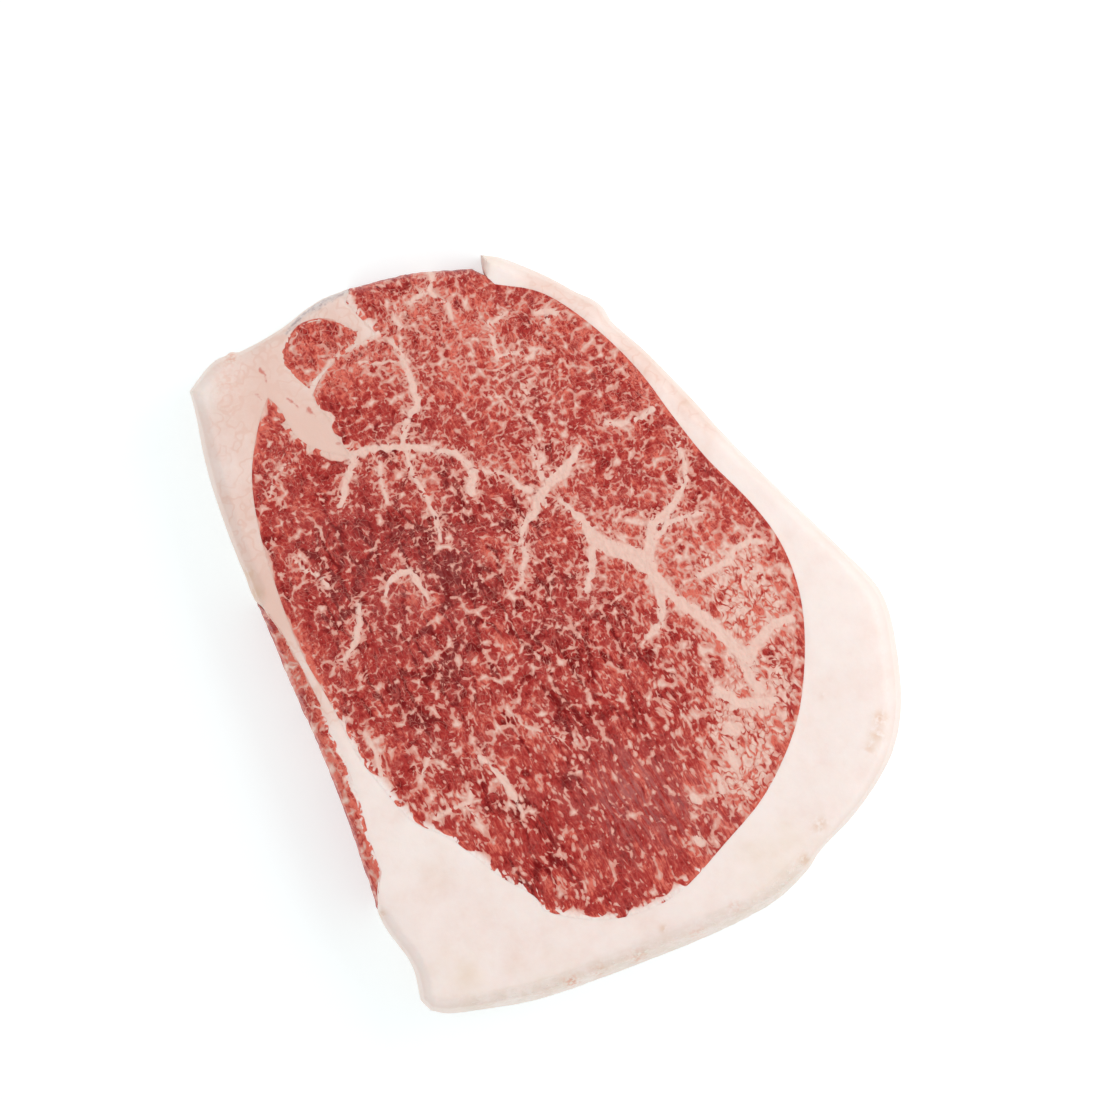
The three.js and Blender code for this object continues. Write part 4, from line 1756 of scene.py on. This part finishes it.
def set_plain(shader, values):
    """Sets the shader's inputs that are the same all over."""
    for socket, value in values.items():
        shader.inputs[socket].default_value = value


def bumped(tree, height_in_mm, strength):
    """A normal from a height in mm."""
    node = tree.nodes.new("ShaderNodeBump")
    node.inputs["Strength"].default_value = strength
    node.inputs["Distance"].default_value = MM
    feed(tree, node.inputs["Height"], height_in_mm)
    return Field(tree, node.outputs["Normal"])


def lean_material(name):
    """Wet, marbled flesh."""
    material, tree, shader = new_material(name)
    level, lobule, grainlet = fat_level(tree)
    at = stored(tree, "laid", vector=True)
    is_fat = slope(level, -0.05, 0.15)
    wet = grain(place_in_mm(tree), WET_PATCH, 2.0)
    swell = grain(at, 0.5, 3.0, 0.6) * 0.12 - lobule * 0.16 - grainlet * 0.16 - crevice(at) * 0.06
    feed(tree, shader.inputs["Base Color"], lean_colour(tree, level, lobule))
    feed(tree, shader.inputs["Roughness"], 0.36 + wet * 0.2 + is_fat * 0.08)
    feed(tree, shader.inputs["Coat Weight"], slope(wet, 0.45, 0.65, 0.0, 0.25))
    feed(tree, shader.inputs["Normal"], bumped(tree, swell + is_fat * 0.06, LEAN_BUMP))
    set_plain(shader, LEAN_SHEEN)
    set_plain(shader, LEAN_GLOW)
    return material


marbled_lean = lean_material("marbled_lean")
neighbour_lean = lean_material("neighbour_lean")
print("nodes in the lean's material:", len(marbled_lean.node_tree.nodes))

# %% [markdown]
# ## The fat
#
# Hard fat is white with a breath of pink, a little translucent, and dull beside the wet lean. Light that
# goes in comes out about a millimetre away, which softens its edges: subsurface scattering does that. A
# plain white paint would look like chalk.

# %% Marks on the fat
FAT_YELLOW = colour(232, 210, 184)
FAT_SHADE = colour(234, 216, 203)
FAT_GRAIN_AND_GLINT = colour(249, 239, 230)
FAT_RIM_GLOW = colour(234, 210, 197)
BLOOD = colour(206, 112, 98)
STAIN = colour(222, 184, 154)
ORANGE = colour(230, 172, 148)
FILM_GREY = colour(176, 146, 146)
FILM_PALE = colour(214, 200, 196)


def white_grains_and_glints(place):
    """0 to 1 on small drawn-out grains of whiter fat, whose whiteness is partly a painted highlight of the
    wet band.
    """
    wavy = wiggled(stretched(place, (0.7, 1.3, 1)), 1.0, 0.5)
    return slope(grain(wavy, 0.8, 2.0, 0.65), 0.54, 0.64)


def rough_band(place, shade):
    """Laid over the fat's colour: a dull and grainy band along the foot with partly painted highlights, a
    painted warm glow along the outer edge, and a line of painted shade for a shallow furrow along the band's
    inner side.
    """
    rough = stored(place.tree, "rough")
    patchy = slope(clouds(place) + small_clouds(place), -0.2, 0.2)
    shade = blended(rough * (patchy * 0.8 + 0.2), shade, FAT_SHADE)
    # Partly painted highlight: the white grains stand for small glints on the wet band as well as whiter fat.
    shade = blended(rough * white_grains_and_glints(place) * 0.6, shade, FAT_GRAIN_AND_GLINT)
    # Painted glow: a warm band along the steak's outer edge, as light comes back out of the rounded fat.
    rim = slope(stored(place.tree, "outside") + small_clouds(place) * 1.5, 0.0, 2.4, 0.5, 0.0)
    shade = blended(rim * (1.0 - rough * 0.8), shade, FAT_RIM_GLOW)
    from_band = stored(place.tree, "outside") - FOOT_BAND + clouds(place) * 1.5
    # Painted shade: a darker line along the inner side of the band, with no furrow in the relief.
    groove_shade = slope(math_node(place.tree, "ABSOLUTE", from_band), 0.0, 0.5, 1.0, 0.0)
    return blended(groove_shade * slope(rough, 0.05, 0.3) * 0.35, shade, FAT_SHADE)


def marked(place, shade):
    """Laid over the fat's colour: blushes, stains, the grey film and the streaks of blood."""
    fine = grain(place, 0.9, 2.0, 0.6) - 0.5
    blush = stored(place.tree, "blush") * slope(grain(place, 0.9, 2.0), 0.42, 0.62)
    shade = blended(smaller(blush, 0.8), shade, ORANGE)
    stain = stored(place.tree, "stain") * slope(grain(place, 1.8, 3.0, 0.6), 0.34, 0.56)
    shade = blended(smaller(stain, 0.7), shade, STAIN)
    film = slope(stored(place.tree, "film") + fine * 1.2, -0.6, 0.3)
    shade = blended(film * 0.75, shade, FILM_PALE)
    stripes = slope(grain(wiggled(place, 2.0, 1.5), 1.1, 3.0, 0.65), 0.46, 0.58)
    shade = blended(film * stripes * 0.8, shade, FILM_GREY)
    streak = slope(stored(place.tree, "streak") + fine * 0.7, -0.15, 0.3)
    return blended(streak * 0.8, shade, BLOOD)


def fat_colour(place):
    """White fat, yellowish in places, with its rough band and its marks."""
    yellow = slope(stored(place.tree, "yellow") + clouds(place) * 0.3, 0.05, 0.9)
    shade = blended(yellow, plain_fat(place.tree, place), FAT_YELLOW)
    return marked(place, rough_band(place, shade))


print("marks on the fat:", len(STREAKS), "streaks,", len(STAINS), "stains and", len(BLUSHES), "blushes")

# %% Make the fat's material
FAT_SHEEN = {"Specular IOR Level": 0.45, "IOR": 1.45, "Coat Roughness": 0.35, "Subsurface Scale": 0.0008}
FAT_GLOW = {"Subsurface Weight": 0.2, "Subsurface Radius": (1.0, 0.6, 0.45)}
FAT_BUMP = 0.7


def fat_material(name):
    """Firm white fat."""
    material, tree, shader = new_material(name)
    place = place_in_mm(tree)
    grains = white_grains_and_glints(place) * stored(tree, "rough")
    height = grain(place, 0.8, 3.0, 0.6) * 0.05 + grains * 0.1
    feed(tree, shader.inputs["Base Color"], fat_colour(place))
    feed(tree, shader.inputs["Roughness"], 0.42 + grain(place, 3.0, 3.0) * 0.2)
    feed(tree, shader.inputs["Normal"], bumped(tree, height, FAT_BUMP))
    set_plain(shader, FAT_SHEEN)
    set_plain(shader, FAT_GLOW)
    return material


white_fat = fat_material("white_fat")
print("nodes in the fat's material:", len(white_fat.node_tree.nodes))

# %% [markdown]
# ## Each piece and its finish
#
# The lobe is lean of the same kind as the eye, so both share one material. The strip at the left is cut
# from a neighbouring muscle. It gets a material of its own, so that it can be changed by itself.

# %% Give each piece its material
finishes = {
    "eye_muscle": ("lean", marbled_lean),
    "corner_lobe": ("lean", marbled_lean),
    "side_muscle": ("side_lean", neighbour_lean),
    "fat_cap": ("fat", white_fat),
}
for node, (slot, material) in finishes.items():
    pieces[node].data.materials.append(material)
    print(node, "is finished with", material.name)

# %% [markdown]
# ## Floor and light
#
# The photograph has a white ground that is lit almost to pure white, with a faint shadow at the left. So
# most of the light comes from all round, and one large soft lamp at the upper right gives the shapes their
# modelling and the wet lean its small glints. The floor glows a little, so that it comes out nearly white.

# %% Put down the floor and hang the lamp
WORLD_LIGHT = 0.80
LAMP_SIZE = 0.5
LAMP_POWER = 1.42
LAMP_PLACE = (0.46, 0.06, 0.46)
FLOOR_WHITE = (0.64, 0.715, 0.725, 1)
FLOOR_GLOW = 0.45
FLOOR_BELOW = 0.05
FLOOR_REACH_METRES = 3.0
FLOOR_ROUGHNESS = 0.9
WHITE = (1, 1, 1, 1)


def add_floor():
    """A wide white sheet under the steak."""
    mesh = bpy.data.meshes.new("floor")
    reach = FLOOR_REACH_METRES
    low = -FLOOR_BELOW * MM
    corners = [(-reach, -reach, low), (reach, -reach, low), (reach, reach, low), (-reach, reach, low)]
    mesh.from_pydata(corners, [], [(0, 1, 2, 3)])
    floor = bpy.data.objects.new("floor", mesh)
    bpy.context.scene.collection.objects.link(floor)
    material, _, shader = new_material("white_floor")
    set_plain(shader, {"Base Color": FLOOR_WHITE, "Roughness": FLOOR_ROUGHNESS, "Specular IOR Level": 0.0})
    set_plain(shader, {"Emission Color": WHITE, "Emission Strength": FLOOR_GLOW})
    mesh.materials.append(material)


def add_lamp():
    """A square soft lamp that points at the steak."""
    light = bpy.data.lights.new("soft_lamp", "AREA")
    light.size = LAMP_SIZE
    light.energy = LAMP_POWER
    lamp = bpy.data.objects.new("soft_lamp", light)
    lamp.location = LAMP_PLACE
    lamp.rotation_euler = (-Vector(LAMP_PLACE)).to_track_quat("-Z", "Y").to_euler()
    bpy.context.scene.collection.objects.link(lamp)


def add_world():
    """Even white light from all round."""
    world = bpy.data.worlds.new("white_room")
    world.use_nodes = True
    background = world.node_tree.nodes["Background"]
    background.inputs["Color"].default_value = WHITE
    background.inputs["Strength"].default_value = WORLD_LIGHT
    bpy.context.scene.world = world


add_floor()
add_lamp()
add_world()
bpy.context.scene.view_settings.view_transform = "Standard"
print("lamp of", LAMP_POWER, "W and world light of", WORLD_LIGHT)
